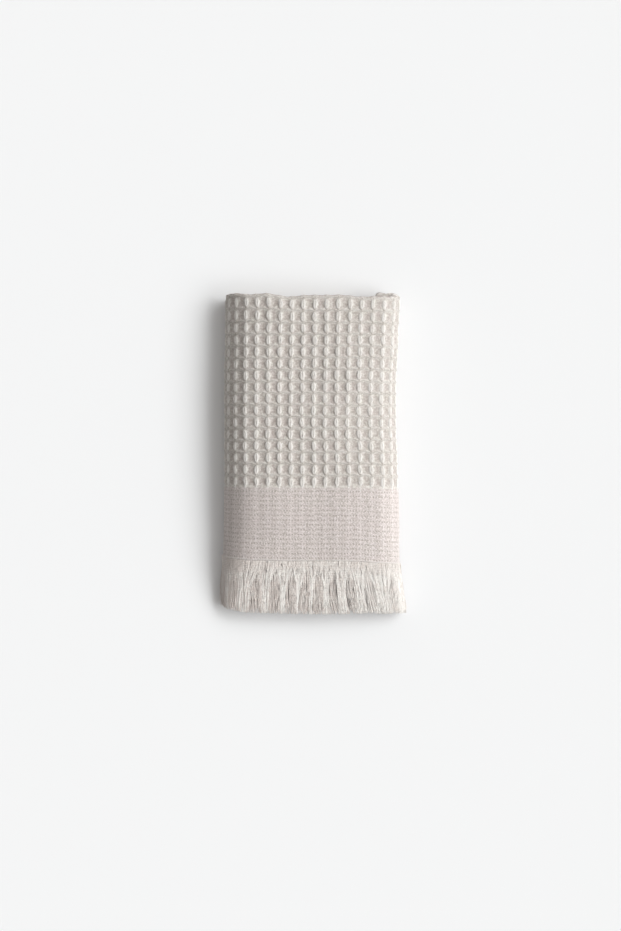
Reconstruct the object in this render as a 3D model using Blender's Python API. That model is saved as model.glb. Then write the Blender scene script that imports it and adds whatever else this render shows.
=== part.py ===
"""A fringed waffle-weave hand towel, folded and lying flat.

The towel is folded in half twice across its length, so four layers lie on each other, and
then in thirds across its width, like a letter.  Its front is the middle third.  The left
side is the large roll that goes down to the bottom third, the right side is the smaller
roll that goes in to the inner third, and both fringed ends point to -Y.

A point of the cloth is given by its place along the section of the letter fold, by y, and
by w, its height in the four layers (0 inside, STACK outside).  Metres, +Z up; the towel
lies on z = 0, and the origin is in the middle of its base.
"""
import math
import random
from collections import namedtuple

import bmesh
import bpy

MM = 0.001

# Cloth and its layers
CLOTH = 2.8 * MM            # one layer of waffle cloth
LAYER_GAP = 0.4 * MM        # air between layers
PANEL_GAP = 0.5 * MM        # air between the thirds
PITCH = CLOTH + LAYER_GAP
STACK = 4 * CLOTH + 3 * LAYER_GAP
HEIGHT = 3 * STACK + 2 * PANEL_GAP
OUTER_W = STACK - CLOTH     # lower faces of the outer, back, inside and innermost layers
BACK_W = OUTER_W - PITCH
INSIDE_W = BACK_W - PITCH

# Ends of the folded towel along Y, and the middle of its outline seen from above
FOLD_Y = 150.0 * MM         # outermost line of the cross folds
HEM_Y = -102.5 * MM         # hem of the outer fringed end
BACK_HEM_Y = -99.5 * MM     # hem of the other fringed end, which lies a little further in
MID_FOLD_Y = -96.0 * MM     # nose of the fold half way along the cloth
MIDDLE_X = 0.9 * MM
MIDDLE_Y = -1.0 * MM

# The letter fold: outer limits, rolls, and where the two free selvedges lie
LEFT_X = -84.5 * MM
RIGHT_X = 82.0 * MM
BOTTOM_FLAP_X = 72.0 * MM
INNER_FLAP_X = -58.0 * MM
LEFT_ROLL = 28.0 * MM       # half widths of the rolls above and below their widest point
LEFT_HEEL = 14.0 * MM
RIGHT_ROLL = 22.0 * MM
RIGHT_HEEL = 8.0 * MM
HOLLOW_HEEL = 10.0 * MM
LEFT_BULGE_Z = 10.0 * MM    # the rolls sag, so their widest points are low
RIGHT_BULGE_Z = 16.5 * MM
HOLLOW_BULGE_Z = 18.0 * MM  # the same inside the left roll

# Waffle cells, and the ribs of the flat band
CELL_U = 10.85 * MM
CELL_Y = 11.1 * MM
WALL_X = 1.4 * MM           # a wall between two columns of cells
BAND_TOP_Y = -32.3 * MM     # the lowest wall of the waffle
WALL_CREST = 0.3 * MM
CROSSING_CREST = 0.0 * MM
ROW_WALL_DIP = 0.4 * MM
PIT = 1.5 * MM
RIB_PITCH = 4.5 * MM
RIB_COUNT = 14
RIB_LOW_Y = -92.6 * MM      # crest of the rib next to the hem
RIB_CREST = 0.35 * MM
RIB_DIP = 0.25 * MM
HEM_CORD = 2.6 * MM

# Fringe
SEAM_GAP = 0.3 * MM         # between the hem and a fringe's backing
BACKING = 2.0 * MM          # width of the backing strip
REACH = 50.5 * MM           # from the hem to the tips
REACH_VARIES = 1.5 * MM
LOCK_SPACING = 15.5 * MM    # strands lean together into locks about this far apart
LOCK_PULL = 0.42            # share of their spacing drawn up at the tips
SWAY = 1.6 * MM
SWAY_LENGTH = 21.0 * MM
STRAND_VARIES = 0.45 * MM
LIFT = 1.2 * MM
SEED = 7

# A fringe: its hem, the heights of its strands in the layers, and how many there are
Fringe = namedtuple("Fringe", "name hem low high count margin")
FRINGES = [
    Fringe("fringe_outer", HEM_Y, OUTER_W + 0.3 * MM, STACK, 140, 1.6 * MM),
    Fringe("fringe_back", BACK_HEM_Y, BACK_W + 0.1 * MM, BACK_W + 2.0 * MM, 72, 2.2 * MM),
]
# A strand's size at a share of its way, against its spacing and its thickness at the root
Ring = namedtuple("Ring", "share width thickness")
STRAND = [Ring(0.0, 0.72, 1.0), Ring(0.30, 0.66, 0.9), Ring(0.66, 0.52, 0.75), Ring(1.0, 0.26, 0.5)]

# Where the panels' ends lie.  at is a leg of the letter fold (LEGS, below) and the part of
# it gone, so 3.5 is the middle of the front.  hem and fold are shifts along +Y, reach
# changes the fringe's length.  From 6.036 to 6.054 the inner third's fold drops back behind
# the front, which leaves its corner showing above the towel's top right.
Place = namedtuple("Place", "at hem fold reach")
PLACES = [
    Place(0.00, 4.0 * MM, -3.0 * MM, -2.0 * MM),
    Place(1.00, 2.5 * MM, -1.0 * MM, -1.0 * MM),
    Place(2.00, 3.3 * MM, 1.6 * MM, -3.5 * MM),
    Place(3.00, 0.6 * MM, 1.2 * MM, 0.0 * MM),
    Place(3.30, 0.0 * MM, -1.1 * MM, 0.3 * MM),
    Place(3.62, -0.1 * MM, -0.8 * MM, 0.8 * MM),
    Place(3.86, -0.5 * MM, -0.9 * MM, -0.5 * MM),
    Place(4.00, -2.4 * MM, -1.2 * MM, -1.8 * MM),
    Place(5.00, -4.4 * MM, 1.2 * MM, -4.6 * MM),
    Place(6.00, -3.0 * MM, 3.0 * MM, -4.0 * MM),
    Place(6.014, -2.7 * MM, 3.9 * MM, -3.6 * MM),
    Place(6.036, -2.4 * MM, 4.0 * MM, -3.2 * MM),
    Place(6.054, -2.0 * MM, -1.6 * MM, -3.0 * MM),
    Place(7.00, 3.0 * MM, -3.0 * MM, -1.0 * MM),
]
STEP_PLACES = (6.014, 6.036, 6.054)
HEM_SHIFT_FADES_Y = 20.0 * MM
FOLD_SHIFT_FADES_Y = 95.0 * MM

# The outline seen from above, and the pile's height against HEIGHT: the band is a thinner
# weave, and the fringe sinks towards the surface.
Section = namedtuple("Section", "y left right height")
SECTIONS = [
    Section(-155.0 * MM, -90.8 * MM, 94.4 * MM, 0.47),
    Section(-126.0 * MM, -88.4 * MM, 87.2 * MM, 0.67),
    Section(-103.0 * MM, -86.6 * MM, 83.6 * MM, 0.82),
    Section(-83.0 * MM, -85.6 * MM, 83.0 * MM, 0.88),
    Section(-38.0 * MM, -84.9 * MM, 82.5 * MM, 0.97),
    Section(30.0 * MM, -84.6 * MM, 80.6 * MM, 1.00),
    Section(90.0 * MM, -84.2 * MM, 81.5 * MM, 1.01),
    Section(125.0 * MM, -84.0 * MM, 83.0 * MM, 1.00),
    Section(147.0 * MM, -83.9 * MM, 84.4 * MM, 0.98),
    Section(150.5 * MM, -86.2 * MM, 84.7 * MM, 0.98),
    Section(152.5 * MM, -88.6 * MM, 84.9 * MM, 0.98),
]
SWELL = 0.012
SWELL_X = 17.0 * MM
SWELL_Y = 29.0 * MM

# The top slopes down to both sides: where its slopes start, how steep they get, and the
# length over which they bend
CROWN_LEFT_X = -32.0 * MM
CROWN_RIGHT_X = 18.0 * MM
CROWN_LEFT_SLOPE = 0.22
CROWN_RIGHT_SLOPE = 0.20
CROWN_BEND = 20.0 * MM


# ---- reading tables ------------------------------------------------------------------------

def clamp(value, low=0.0, high=1.0):
    return max(low, min(high, value))


def ease(value, start, end):
    """0 at start, 1 at end, smooth between them."""
    t = clamp((value - start) / (end - start))
    return t * t * (3 - 2 * t)


def straight(table, column, at):
    """A column of a table at a value of its first column, straight between the rows."""
    at = clamp(at, table[0][0], table[-1][0])
    i = max(j for j in range(len(table) - 1) if table[j][0] <= at)
    a, b = table[i], table[i + 1]
    share = (at - a[0]) / (b[0] - a[0])
    return getattr(a, column) * (1 - share) + getattr(b, column) * share


def smooth(table, column, at):
    """The same on a smooth curve that doesn't overshoot its rows."""
    keys = [row[0] for row in table]
    values = [getattr(row, column) for row in table]
    at = clamp(at, keys[0], keys[-1])
    i = max(j for j in range(len(keys) - 1) if keys[j] <= at)
    slopes = [(values[j + 1] - values[j]) / (keys[j + 1] - keys[j]) for j in range(len(keys) - 1)]

    def tangent(j):
        before, after = slopes[max(j - 1, 0)], slopes[min(j, len(slopes) - 1)]
        return 2 * before * after / (before + after) if before * after > 0 else 0.0

    gap = keys[i + 1] - keys[i]
    t = (at - keys[i]) / gap
    rise = t * t * (3 - 2 * t)
    return (values[i] * (1 - rise) + values[i + 1] * rise
            + gap * t * (1 - t) * (tangent(i) * (1 - t) - tangent(i + 1) * t))


# ---- the letter fold ------------------------------------------------------------------------

# Curves of the section: a straight at height z, or a quarter turn clockwise from start
Line = namedtuple("Line", "x0 x1 z")
Quarter = namedtuple("Quarter", "x z across up start")
Leg = namedtuple("Leg", "name outer inner")

LEFT_C = LEFT_X + LEFT_ROLL
RIGHT_C = RIGHT_X - RIGHT_ROLL
LEFT_FOOT = LEFT_X + LEFT_HEEL
RIGHT_FOOT = RIGHT_X - RIGHT_HEEL
HOLLOW_FOOT = LEFT_X + STACK + HOLLOW_HEEL
TOP_IN_Z = HEIGHT - STACK
SLOT_Z = TOP_IN_Z - PANEL_GAP / 2
SLOT = RIGHT_X - STACK - RIGHT_C
INNER_Z = STACK + PANEL_GAP

LEGS = [
    Leg("bottom third",
        Line(BOTTOM_FLAP_X, LEFT_FOOT, 0.0),
        Line(BOTTOM_FLAP_X, HOLLOW_FOOT, STACK)),
    Leg("left heel",
        Quarter(LEFT_FOOT, LEFT_BULGE_Z, LEFT_HEEL, LEFT_BULGE_Z, 270),
        Quarter(HOLLOW_FOOT, HOLLOW_BULGE_Z, HOLLOW_HEEL, HOLLOW_BULGE_Z - STACK, 270)),
    Leg("left shoulder",
        Quarter(LEFT_C, LEFT_BULGE_Z, LEFT_ROLL, HEIGHT - LEFT_BULGE_Z, 180),
        Quarter(LEFT_C, HOLLOW_BULGE_Z, LEFT_ROLL - STACK, TOP_IN_Z - HOLLOW_BULGE_Z, 180)),
    Leg("front third",
        Line(LEFT_C, RIGHT_C, HEIGHT),
        Line(LEFT_C, RIGHT_C, TOP_IN_Z)),
    Leg("right shoulder",
        Quarter(RIGHT_C, RIGHT_BULGE_Z, RIGHT_ROLL, HEIGHT - RIGHT_BULGE_Z, 90),
        Quarter(RIGHT_C, SLOT_Z, SLOT, PANEL_GAP / 2, 90)),
    Leg("right heel",
        Quarter(RIGHT_FOOT, RIGHT_BULGE_Z, RIGHT_HEEL, RIGHT_BULGE_Z - INNER_Z, 0),
        Quarter(RIGHT_C, SLOT_Z, SLOT, PANEL_GAP / 2, 0)),
    Leg("inner third",
        Line(RIGHT_FOOT, INNER_FLAP_X, INNER_Z),
        Line(RIGHT_C, INNER_FLAP_X, SLOT_Z - PANEL_GAP / 2)),
]
HEEL_L, SHOULDER_L, FRONT, SHOULDER_R, HEEL_R, INNER = range(1, 7)
LEG_STEPS = 40


def on_curve(curve, part):
    if isinstance(curve, Line):
        return curve.x0 + (curve.x1 - curve.x0) * part, curve.z
    angle = math.radians(curve.start - 90 * part)
    return curve.x + curve.across * math.cos(angle), curve.z + curve.up * math.sin(angle)


def section_point(place, w):
    """x and z of a place along the letter fold, at height w in the layers."""
    leg = min(int(place), len(LEGS) - 1)
    x_out, z_out = on_curve(LEGS[leg].outer, place - leg)
    x_in, z_in = on_curve(LEGS[leg].inner, place - leg)
    share = w / STACK
    return x_in + (x_out - x_in) * share, z_in + (z_out - z_in) * share


def measure_section():
    """Rows of (length along the outer face, place) for the whole letter fold."""
    rows = [(0.0, 0.0)]
    before = section_point(0.0, STACK)
    for step in range(1, len(LEGS) * LEG_STEPS + 1):
        point = section_point(step / LEG_STEPS, STACK)
        rows.append((rows[-1][0] + math.dist(before, point), step / LEG_STEPS))
        before = point
    return rows


MEASURED = measure_section()
WHOLE = MEASURED[-1][0]


def place_at(u):
    """The place at length u from the bottom third's selvedge."""
    i = max(j for j in range(len(MEASURED) - 1) if MEASURED[j][0] <= clamp(u, 0.0, WHOLE))
    (u0, place0), (u1, place1) = MEASURED[i], MEASURED[i + 1]
    return place0 + (place1 - place0) * (u - u0) / (u1 - u0)


def length_at(place):
    """The length u of a place."""
    i = min(int(place * LEG_STEPS + 1e-6), len(MEASURED) - 2)
    (u0, place0), (u1, place1) = MEASURED[i], MEASURED[i + 1]
    return u0 + (u1 - u0) * (place - place0) / (place1 - place0)


def crown(x):
    """The pile's height at x, against its height in the middle."""
    left, right = max(CROWN_LEFT_X - x, 0.0), max(x - CROWN_RIGHT_X, 0.0)
    return 1 - (CROWN_LEFT_SLOPE * (math.hypot(left, CROWN_BEND) - CROWN_BEND)
                + CROWN_RIGHT_SLOPE * (math.hypot(right, CROWN_BEND) - CROWN_BEND)) / HEIGHT


def spot(place, y, w):
    """Where a point of the folded cloth lies, on the uneven pile."""
    x, z = section_point(place, w)
    z *= crown(x)
    y += straight(PLACES, "hem", place) * ease(y, HEM_SHIFT_FADES_Y, HEM_Y)
    y += smooth(PLACES, "fold", place) * ease(y, FOLD_SHIFT_FADES_Y, FOLD_Y)
    left = smooth(SECTIONS, "left", y) - LEFT_X
    right = smooth(SECTIONS, "right", y) - RIGHT_X
    x += left + (right - left) * (x - LEFT_X) / (RIGHT_X - LEFT_X)
    swell = 1 + SWELL * math.sin(x / SWELL_X + 0.6) * math.sin(y / SWELL_Y + 0.4)
    return x - MIDDLE_X, y - MIDDLE_Y, z * smooth(SECTIONS, "height", y) * swell


# ---- columns: places along the letter fold --------------------------------------------------

WALL_U = length_at(FRONT) + WALL_X - LEFT_C


def columns(every_on_shoulders, every_on_front, extra):
    """Places for a row of points: every so many half cells, both selvedges, and extra ones."""
    places = {0.0, float(HEEL_L), float(INNER), float(len(LEGS))}
    places.update(extra)
    half = CELL_U / 2
    first = math.ceil((length_at(HEEL_L + 0.3) - WALL_U) / half)
    last = math.floor((length_at(HEEL_R + 0.7) - WALL_U) / half)
    for k in range(first, last + 1):
        place = place_at(WALL_U + k * half)
        every = 1
        if FRONT < place < SHOULDER_R:
            every = every_on_front
        elif SHOULDER_L < place < HEEL_R:
            every = every_on_shoulders
        if k % every == 0 and min(abs(place - other) for other in places) > 0.02:
            places.add(place)
    return sorted(places)


WAFFLE_COLUMNS = columns(1, 1, STEP_PLACES)
BAND_COLUMNS = columns(1, 5, [row.at for row in PLACES])
HIDDEN_COLUMNS = columns(2, 4, [row.at for row in PLACES])


def relief_share(place):
    """1 where the relief shows, 0 under the towel and inside it, where the cloth is pressed."""
    return ease(place, HEEL_L + 0.1, HEEL_L + 0.6) * ease(place, INNER, HEEL_R + 0.5)


def waffle_rise(place, phase):
    """Height of the waffle over the cloth's face: walls between cells, pits in them."""
    across = math.cos(math.pi * (length_at(place) - WALL_U) / CELL_U) ** 2
    along = math.cos(math.pi * phase) ** 2
    return (across * (1 - along) * WALL_CREST + across * along * CROSSING_CREST
            - (1 - across) * along * ROW_WALL_DIP - (1 - across) * (1 - along) * PIT)


# ---- rows: the cross section of the four layers ----------------------------------------------

# key is the way along the cloth: the number of a strip and the part of it gone.  relief
# gives the rise over the cloth's face at a place.
Row = namedtuple("Row", "key y w relief columns")
OUTER, CROSS, INNERMOST, MIDDLE, INSIDE, INNER_CROSS, BACK = range(7)
CREASE_Y = FOLD_Y - 6.8 * MM
MID_CREASE_Y = MID_FOLD_Y + 3.2 * MM
FLAT_YS = (90 * MM, 25 * MM, -38 * MM, -80 * MM)

# Half-turn bends about (y, w): half sizes along y and w, and the way round
Bend = namedtuple("Bend", "y w along up")
CROSS_BEND = Bend(CREASE_Y, STACK / 2, 6.8 * MM, STACK / 2)
CROSS_BEND_IN = Bend(CREASE_Y, STACK / 2, 3.9 * MM, STACK / 2 - CLOTH)
INNER_BEND = Bend(CREASE_Y, STACK / 2, 3.4 * MM, -CLOTH - LAYER_GAP / 2)
INNER_BEND_IN = Bend(CREASE_Y, STACK / 2, 0.8 * MM, -LAYER_GAP / 2)
MID_BEND = Bend(MID_CREASE_Y, CLOTH + LAYER_GAP / 2, -3.2 * MM, -CLOTH - LAYER_GAP / 2)
MID_BEND_IN = Bend(MID_CREASE_Y, CLOTH + LAYER_GAP / 2, -0.8 * MM, -LAYER_GAP / 2)
BEND_STEPS = 5
TIGHT_BEND_STEPS = 2


def around(bend, part, rise=0.0):
    """A point of a bend, with part of its half turn gone and rise over its face."""
    angle = math.pi * (0.5 - part)
    return (bend.y + (bend.along + rise) * math.cos(angle),
            bend.w + (bend.up + rise) * math.sin(angle))


def bend_rows(strip, bend, steps):
    return [Row(strip + i / steps, *around(bend, i / steps), None, HIDDEN_COLUMNS)
            for i in range(steps + 1)]


def strip_rows(strip, w, start, end):
    """Rows of a flat strip of a layer, between two bends or from a hem at start."""
    rows = [Row(strip + (y - start) / (end - start), y, w, None, HIDDEN_COLUMNS)
            for y in FLAT_YS]
    return rows if end < start else rows[::-1]


def hem_row(strip, part, y, w):
    return Row(strip + part, y, w, None, HIDDEN_COLUMNS)


def band_rows():
    """The flat band: a hem cord, plain cloth, then ribs up to the waffle."""
    lines = [(HEM_Y, 0.0), (HEM_Y + HEM_CORD / 2, RIB_CREST), (HEM_Y + HEM_CORD, -RIB_DIP)]
    for rib in range(RIB_COUNT):
        crest = RIB_LOW_Y + rib * RIB_PITCH
        lines += [(crest - RIB_PITCH / 2, -RIB_DIP), (crest, RIB_CREST)]
    return [Row(OUTER + (y - HEM_Y) / (CREASE_Y - HEM_Y), y, STACK,
                lambda place, rise=rise: rise, BAND_COLUMNS) for y, rise in lines]


def waffle_rows():
    """Half-cell rows over the outer layer, then quarter-cell rows round the cross fold."""
    count = math.floor((CREASE_Y - BAND_TOP_Y) / CELL_Y * 2)
    lines = [BAND_TOP_Y + k * CELL_Y / 2 for k in range(count + 1)]
    rows = [Row(OUTER + (y - HEM_Y) / (CREASE_Y - HEM_Y), y, STACK,
                lambda place, phase=k / 2: waffle_rise(place, phase), WAFFLE_COLUMNS)
            for k, y in enumerate(lines)]
    girth = math.pi * math.sqrt((CROSS_BEND.along ** 2 + CROSS_BEND.up ** 2) / 2)
    for quarter in range(1, 9):
        part = (lines[-1] + quarter * CELL_Y / 4 - CREASE_Y) / girth
        if 0.02 < part < 0.95:
            rows.append(Row(CROSS + part, *around(CROSS_BEND, part),
                            lambda place, phase=count / 2 + quarter / 4: waffle_rise(place, phase),
                            WAFFLE_COLUMNS))
    return rows


def outer_side():
    """The face that shows: hem, band, waffle, and on over the folds to the other hem."""
    return (band_rows() + waffle_rows()
            + [hem_row(INNERMOST, 0.0, CREASE_Y, 0.0)]
            + strip_rows(INNERMOST, 0.0, CREASE_Y, MID_CREASE_Y)
            + bend_rows(MIDDLE, MID_BEND, BEND_STEPS)
            + strip_rows(INSIDE, INSIDE_W + CLOTH, MID_CREASE_Y, CREASE_Y)
            + bend_rows(INNER_CROSS, INNER_BEND_IN, TIGHT_BEND_STEPS)
            + strip_rows(BACK, BACK_W, CREASE_Y, BACK_HEM_Y)
            + [hem_row(BACK, 1.0, BACK_HEM_Y, BACK_W)])


def inner_side():
    """The cloth's other face, in the same order."""
    return ([hem_row(OUTER, 0.0, HEM_Y, OUTER_W)]
            + strip_rows(OUTER, OUTER_W, HEM_Y, CREASE_Y)
            + bend_rows(CROSS, CROSS_BEND_IN, BEND_STEPS)
            + strip_rows(INNERMOST, CLOTH, CREASE_Y, MID_CREASE_Y)
            + bend_rows(MIDDLE, MID_BEND_IN, TIGHT_BEND_STEPS)
            + strip_rows(INSIDE, INSIDE_W, MID_CREASE_Y, CREASE_Y)
            + bend_rows(INNER_CROSS, INNER_BEND, BEND_STEPS)
            + strip_rows(BACK, BACK_W + CLOTH, CREASE_Y, BACK_HEM_Y)
            + [hem_row(BACK, 1.0, BACK_HEM_Y, BACK_W + CLOTH)])


def row_points(row):
    """The points of a row, with its relief square to the cloth."""
    points = []
    for place in row.columns:
        y, w = row.y, row.w
        if row.relief:
            rise = row.relief(place) * relief_share(place)
            if row.key < CROSS:
                w += rise
            else:
                y, w = around(CROSS_BEND, row.key - CROSS, rise)
        points.append(spot(place, y, w))
    return points


# ---- meshes ----------------------------------------------------------------------------------

class Shell:
    """A closed mesh sewn together from chains of points, each with a key for every point."""

    def __init__(self, name):
        self.name = name
        self.mesh = bmesh.new()

    def chain(self, points, keys):
        return [(key, self.mesh.verts.new(point)) for key, point in zip(keys, points)]

    def sew(self, one, two):
        """Faces between two chains, quads where their keys agree."""
        i = j = 0
        while i < len(one) - 1 or j < len(two) - 1:
            ahead = one[i + 1][0] if i < len(one) - 1 else math.inf
            across = two[j + 1][0] if j < len(two) - 1 else math.inf
            corners = [one[i][1], two[j][1]]
            if abs(ahead - across) < 1e-6:
                corners += [two[j + 1][1], one[i + 1][1]]
                i, j = i + 1, j + 1
            elif ahead < across:
                corners.append(one[i + 1][1])
                i += 1
            else:
                corners.append(two[j + 1][1])
                j += 1
            self.face(corners)

    def face(self, corners):
        different = [v for n, v in enumerate(corners) if v is not corners[n - 1]]
        if len(different) > 2:
            self.mesh.faces.new(different)

    def finish(self, material):
        bmesh.ops.recalc_face_normals(self.mesh, faces=self.mesh.faces[:])
        data = bpy.data.meshes.new(self.name)
        self.mesh.to_mesh(data)
        self.mesh.free()
        data.materials.append(material)
        data.shade_smooth()
        data.set_sharp_from_angle(angle=math.radians(50))
        thing = bpy.data.objects.new(self.name, data)
        bpy.context.collection.objects.link(thing)
        return thing


def cotton(name, colour, roughness):
    material = bpy.data.materials.new(name)
    material.use_nodes = True
    shader = material.node_tree.nodes["Principled BSDF"]
    shader.inputs["Base Color"].default_value = (*colour, 1.0)
    shader.inputs["Roughness"].default_value = roughness
    shader.inputs["Metallic"].default_value = 0.0
    return material


def build_towel(material):
    """The cloth, one closed solid in its folds."""
    shell = Shell("towel")
    sides = []
    for rows in (outer_side(), inner_side()):
        chains = [shell.chain(row_points(row), row.columns) for row in rows]
        for one, two in zip(chains, chains[1:]):
            shell.sew(one, two)
        sides.append((rows, chains))
    (outer_rows, outer), (inner_rows, inner) = sides
    shell.sew(outer[0], inner[0])
    shell.sew(outer[-1], inner[-1])
    for end in (0, -1):
        shell.sew([(row.key, chain[end][1]) for row, chain in zip(outer_rows, outer)],
                  [(row.key, chain[end][1]) for row, chain in zip(inner_rows, inner)])
    return shell.finish(material)


def lean(u, share, push):
    """How far a strand at u has leant along the hem, with a share of its way gone."""
    inside = ease(u, 0.0, LOCK_SPACING) * ease(u, WHOLE, WHOLE - LOCK_SPACING)
    turns = u / LOCK_SPACING + 0.35 * math.sin(u / SWAY_LENGTH)
    lock = LOCK_PULL * LOCK_SPACING / math.tau * math.sin(math.tau * turns)
    return inside * (SWAY * share * math.sin(1.7 * u / SWAY_LENGTH + 2.2 * share)
                     - lock * share ** 1.3 + push * share)


def strand_corners(fringe, u, ring, push, reach, lift):
    """The four corners of a strand's ring, in order round it."""
    spacing = (WHOLE - 2 * fringe.margin) / fringe.count
    middle = u + lean(u, ring.share, push)
    ends = [place_at(middle - spacing * ring.width / 2), place_at(middle + spacing * ring.width / 2)]
    y = fringe.hem - SEAM_GAP - BACKING - reach * ring.share
    on_floor = 1 - ease(middle, length_at(0.8), length_at(HEEL_L + 0.3))
    high = fringe.high - lift * ring.share * (1 - on_floor)
    low = high - (fringe.high - fringe.low) * ring.thickness
    return [spot(ends[0], y, high), spot(ends[1], y, high),
            spot(ends[1], y, low), spot(ends[0], y, low)]


def build_fringe(fringe, material):
    """A row of strands, fused at their roots into a narrow strip beside the hem."""
    shell = Shell(fringe.name)
    luck = random.Random(SEED + fringe.count)
    spacing = (WHOLE - 2 * fringe.margin) / fringe.count
    near, far = fringe.hem - SEAM_GAP, fringe.hem - SEAM_GAP - BACKING
    back = [shell.chain([spot(place, near, w) for place in HIDDEN_COLUMNS], HIDDEN_COLUMNS)
            for w in (fringe.high, fringe.low)]
    start = [shell.chain([spot(0.0, far, w)], [0.0]) for w in (fringe.high, fringe.low)]
    front = [start[0][:], start[1][:]]
    for number in range(fringe.count):
        u = fringe.margin + (number + 0.5) * spacing
        push = luck.uniform(-STRAND_VARIES, STRAND_VARIES)
        lift = luck.uniform(0.0, LIFT)
        reach = (REACH - BACKING + straight(PLACES, "reach", place_at(u))
                 + luck.uniform(-REACH_VARIES, REACH_VARIES))
        rings = [[shell.mesh.verts.new(point)
                  for point in strand_corners(fringe, u, ring, push, reach, lift)]
                 for ring in STRAND]
        for one, two in zip(rings, rings[1:]):
            for corner in range(4):
                shell.face([one[corner], one[corner - 1], two[corner - 1], two[corner]])
        shell.face(rings[-1])
        ends = [place_at(u - spacing * STRAND[0].width / 2),
                place_at(u + spacing * STRAND[0].width / 2)]
        root = rings[0]
        shell.face([front[0][-1][1], root[0], root[3], front[1][-1][1]])
        front[0] += [(ends[0], root[0]), (ends[1], root[1])]
        front[1] += [(ends[0], root[3]), (ends[1], root[2])]
    last = [shell.chain([spot(len(LEGS), far, w)], [len(LEGS)]) for w in (fringe.high, fringe.low)]
    shell.face([front[0][-1][1], last[0][0][1], last[1][0][1], front[1][-1][1]])
    front = [front[0] + last[0], front[1] + last[1]]
    for side in (0, 1):
        shell.sew(back[side], front[side])
    shell.sew(back[0], back[1])
    for end in (0, -1):
        shell.face([back[0][end][1], front[0][end][1], front[1][end][1], back[1][end][1]])
    return shell.finish(material)


def main():
    for thing in list(bpy.data.objects):
        bpy.data.objects.remove(thing, do_unlink=True)
    build_towel(cotton("waffle cotton", (0.66, 0.61, 0.57), 0.92))
    threads = cotton("cotton threads", (0.70, 0.66, 0.62), 0.9)
    for fringe in FRINGES:
        build_fringe(fringe, threads)


if __name__ == "__main__":
    main()
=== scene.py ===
"""The finish of a folded waffle hand towel: its cloth with cells, ribs and yarns, its fringes
of loose threads, the yarn along each hem, and a plain pale stage.

The cloth follows the same folds as the solids: a point is given by its place along the
letter fold, by y, and by w, its height in the four layers.  Metres, +Z up.
"""

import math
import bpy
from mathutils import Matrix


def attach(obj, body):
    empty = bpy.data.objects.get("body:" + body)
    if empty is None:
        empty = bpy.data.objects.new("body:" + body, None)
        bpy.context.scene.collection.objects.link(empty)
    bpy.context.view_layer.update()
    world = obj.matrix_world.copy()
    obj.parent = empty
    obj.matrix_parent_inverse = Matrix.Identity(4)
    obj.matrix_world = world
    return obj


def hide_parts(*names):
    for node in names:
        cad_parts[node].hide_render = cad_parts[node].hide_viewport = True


bl_info = {
    "name": "Folded waffle towel",
    "version": (1, 0, 0),
    "blender": (4, 5, 0),
    "location": "View3D > Sidebar > Towel",
    "description": "Dresses a folded waffle towel with cells, ribs, yarns and fringes",
    "category": "Object",
}

from collections import namedtuple

import bmesh
import bpy
import numpy as np
from bpy.props import (FloatProperty, FloatVectorProperty, IntProperty, PointerProperty)

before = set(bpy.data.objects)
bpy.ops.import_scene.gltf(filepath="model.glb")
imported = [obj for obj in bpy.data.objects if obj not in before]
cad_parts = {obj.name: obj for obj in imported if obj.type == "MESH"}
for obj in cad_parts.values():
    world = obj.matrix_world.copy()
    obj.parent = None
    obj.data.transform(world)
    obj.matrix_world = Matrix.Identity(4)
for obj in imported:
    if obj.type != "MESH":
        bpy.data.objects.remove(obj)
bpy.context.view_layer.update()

MM = 0.001

# ---- the folds, as in the solids --------------------------------------------------------------

# Cloth and its layers
CLOTH = 2.8 * MM
LAYER_GAP = 0.4 * MM
PANEL_GAP = 0.5 * MM
PITCH = CLOTH + LAYER_GAP
STACK = 4 * CLOTH + 3 * LAYER_GAP
HEIGHT = 3 * STACK + 2 * PANEL_GAP
OUTER_W = STACK - CLOTH
BACK_W = OUTER_W - PITCH
INSIDE_W = BACK_W - PITCH

# Ends of the folded towel along Y, and the middle of its outline
FOLD_Y = 150.0 * MM
HEM_Y = -102.5 * MM
BACK_HEM_Y = -99.5 * MM
MID_FOLD_Y = -96.0 * MM
MIDDLE_X = 0.9 * MM
MIDDLE_Y = -1.0 * MM

# The letter fold: outer limits, rolls, and where the two free selvedges lie
LEFT_X = -84.5 * MM
RIGHT_X = 82.0 * MM
BOTTOM_FLAP_X = 72.0 * MM
INNER_FLAP_X = -58.0 * MM
LEFT_ROLL = 28.0 * MM
LEFT_HEEL = 14.0 * MM
RIGHT_ROLL = 22.0 * MM
RIGHT_HEEL = 8.0 * MM
HOLLOW_HEEL = 10.0 * MM
LEFT_BULGE_Z = 10.0 * MM
RIGHT_BULGE_Z = 16.5 * MM
HOLLOW_BULGE_Z = 18.0 * MM

# Waffle cells and the ribs of the flat band
CELL_U = 10.85 * MM
CELL_Y = 11.1 * MM
WALL_X = 1.4 * MM
BAND_TOP_Y = -32.3 * MM
RIB_PITCH = 4.5 * MM
RIB_LOW_Y = -92.6 * MM
HEM_CORD = 2.6 * MM

# Fringe
REACH = 50.5 * MM
LOCK_SPACING = 15.5 * MM
SWAY = 1.6 * MM
SWAY_LENGTH = 21.0 * MM

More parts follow.
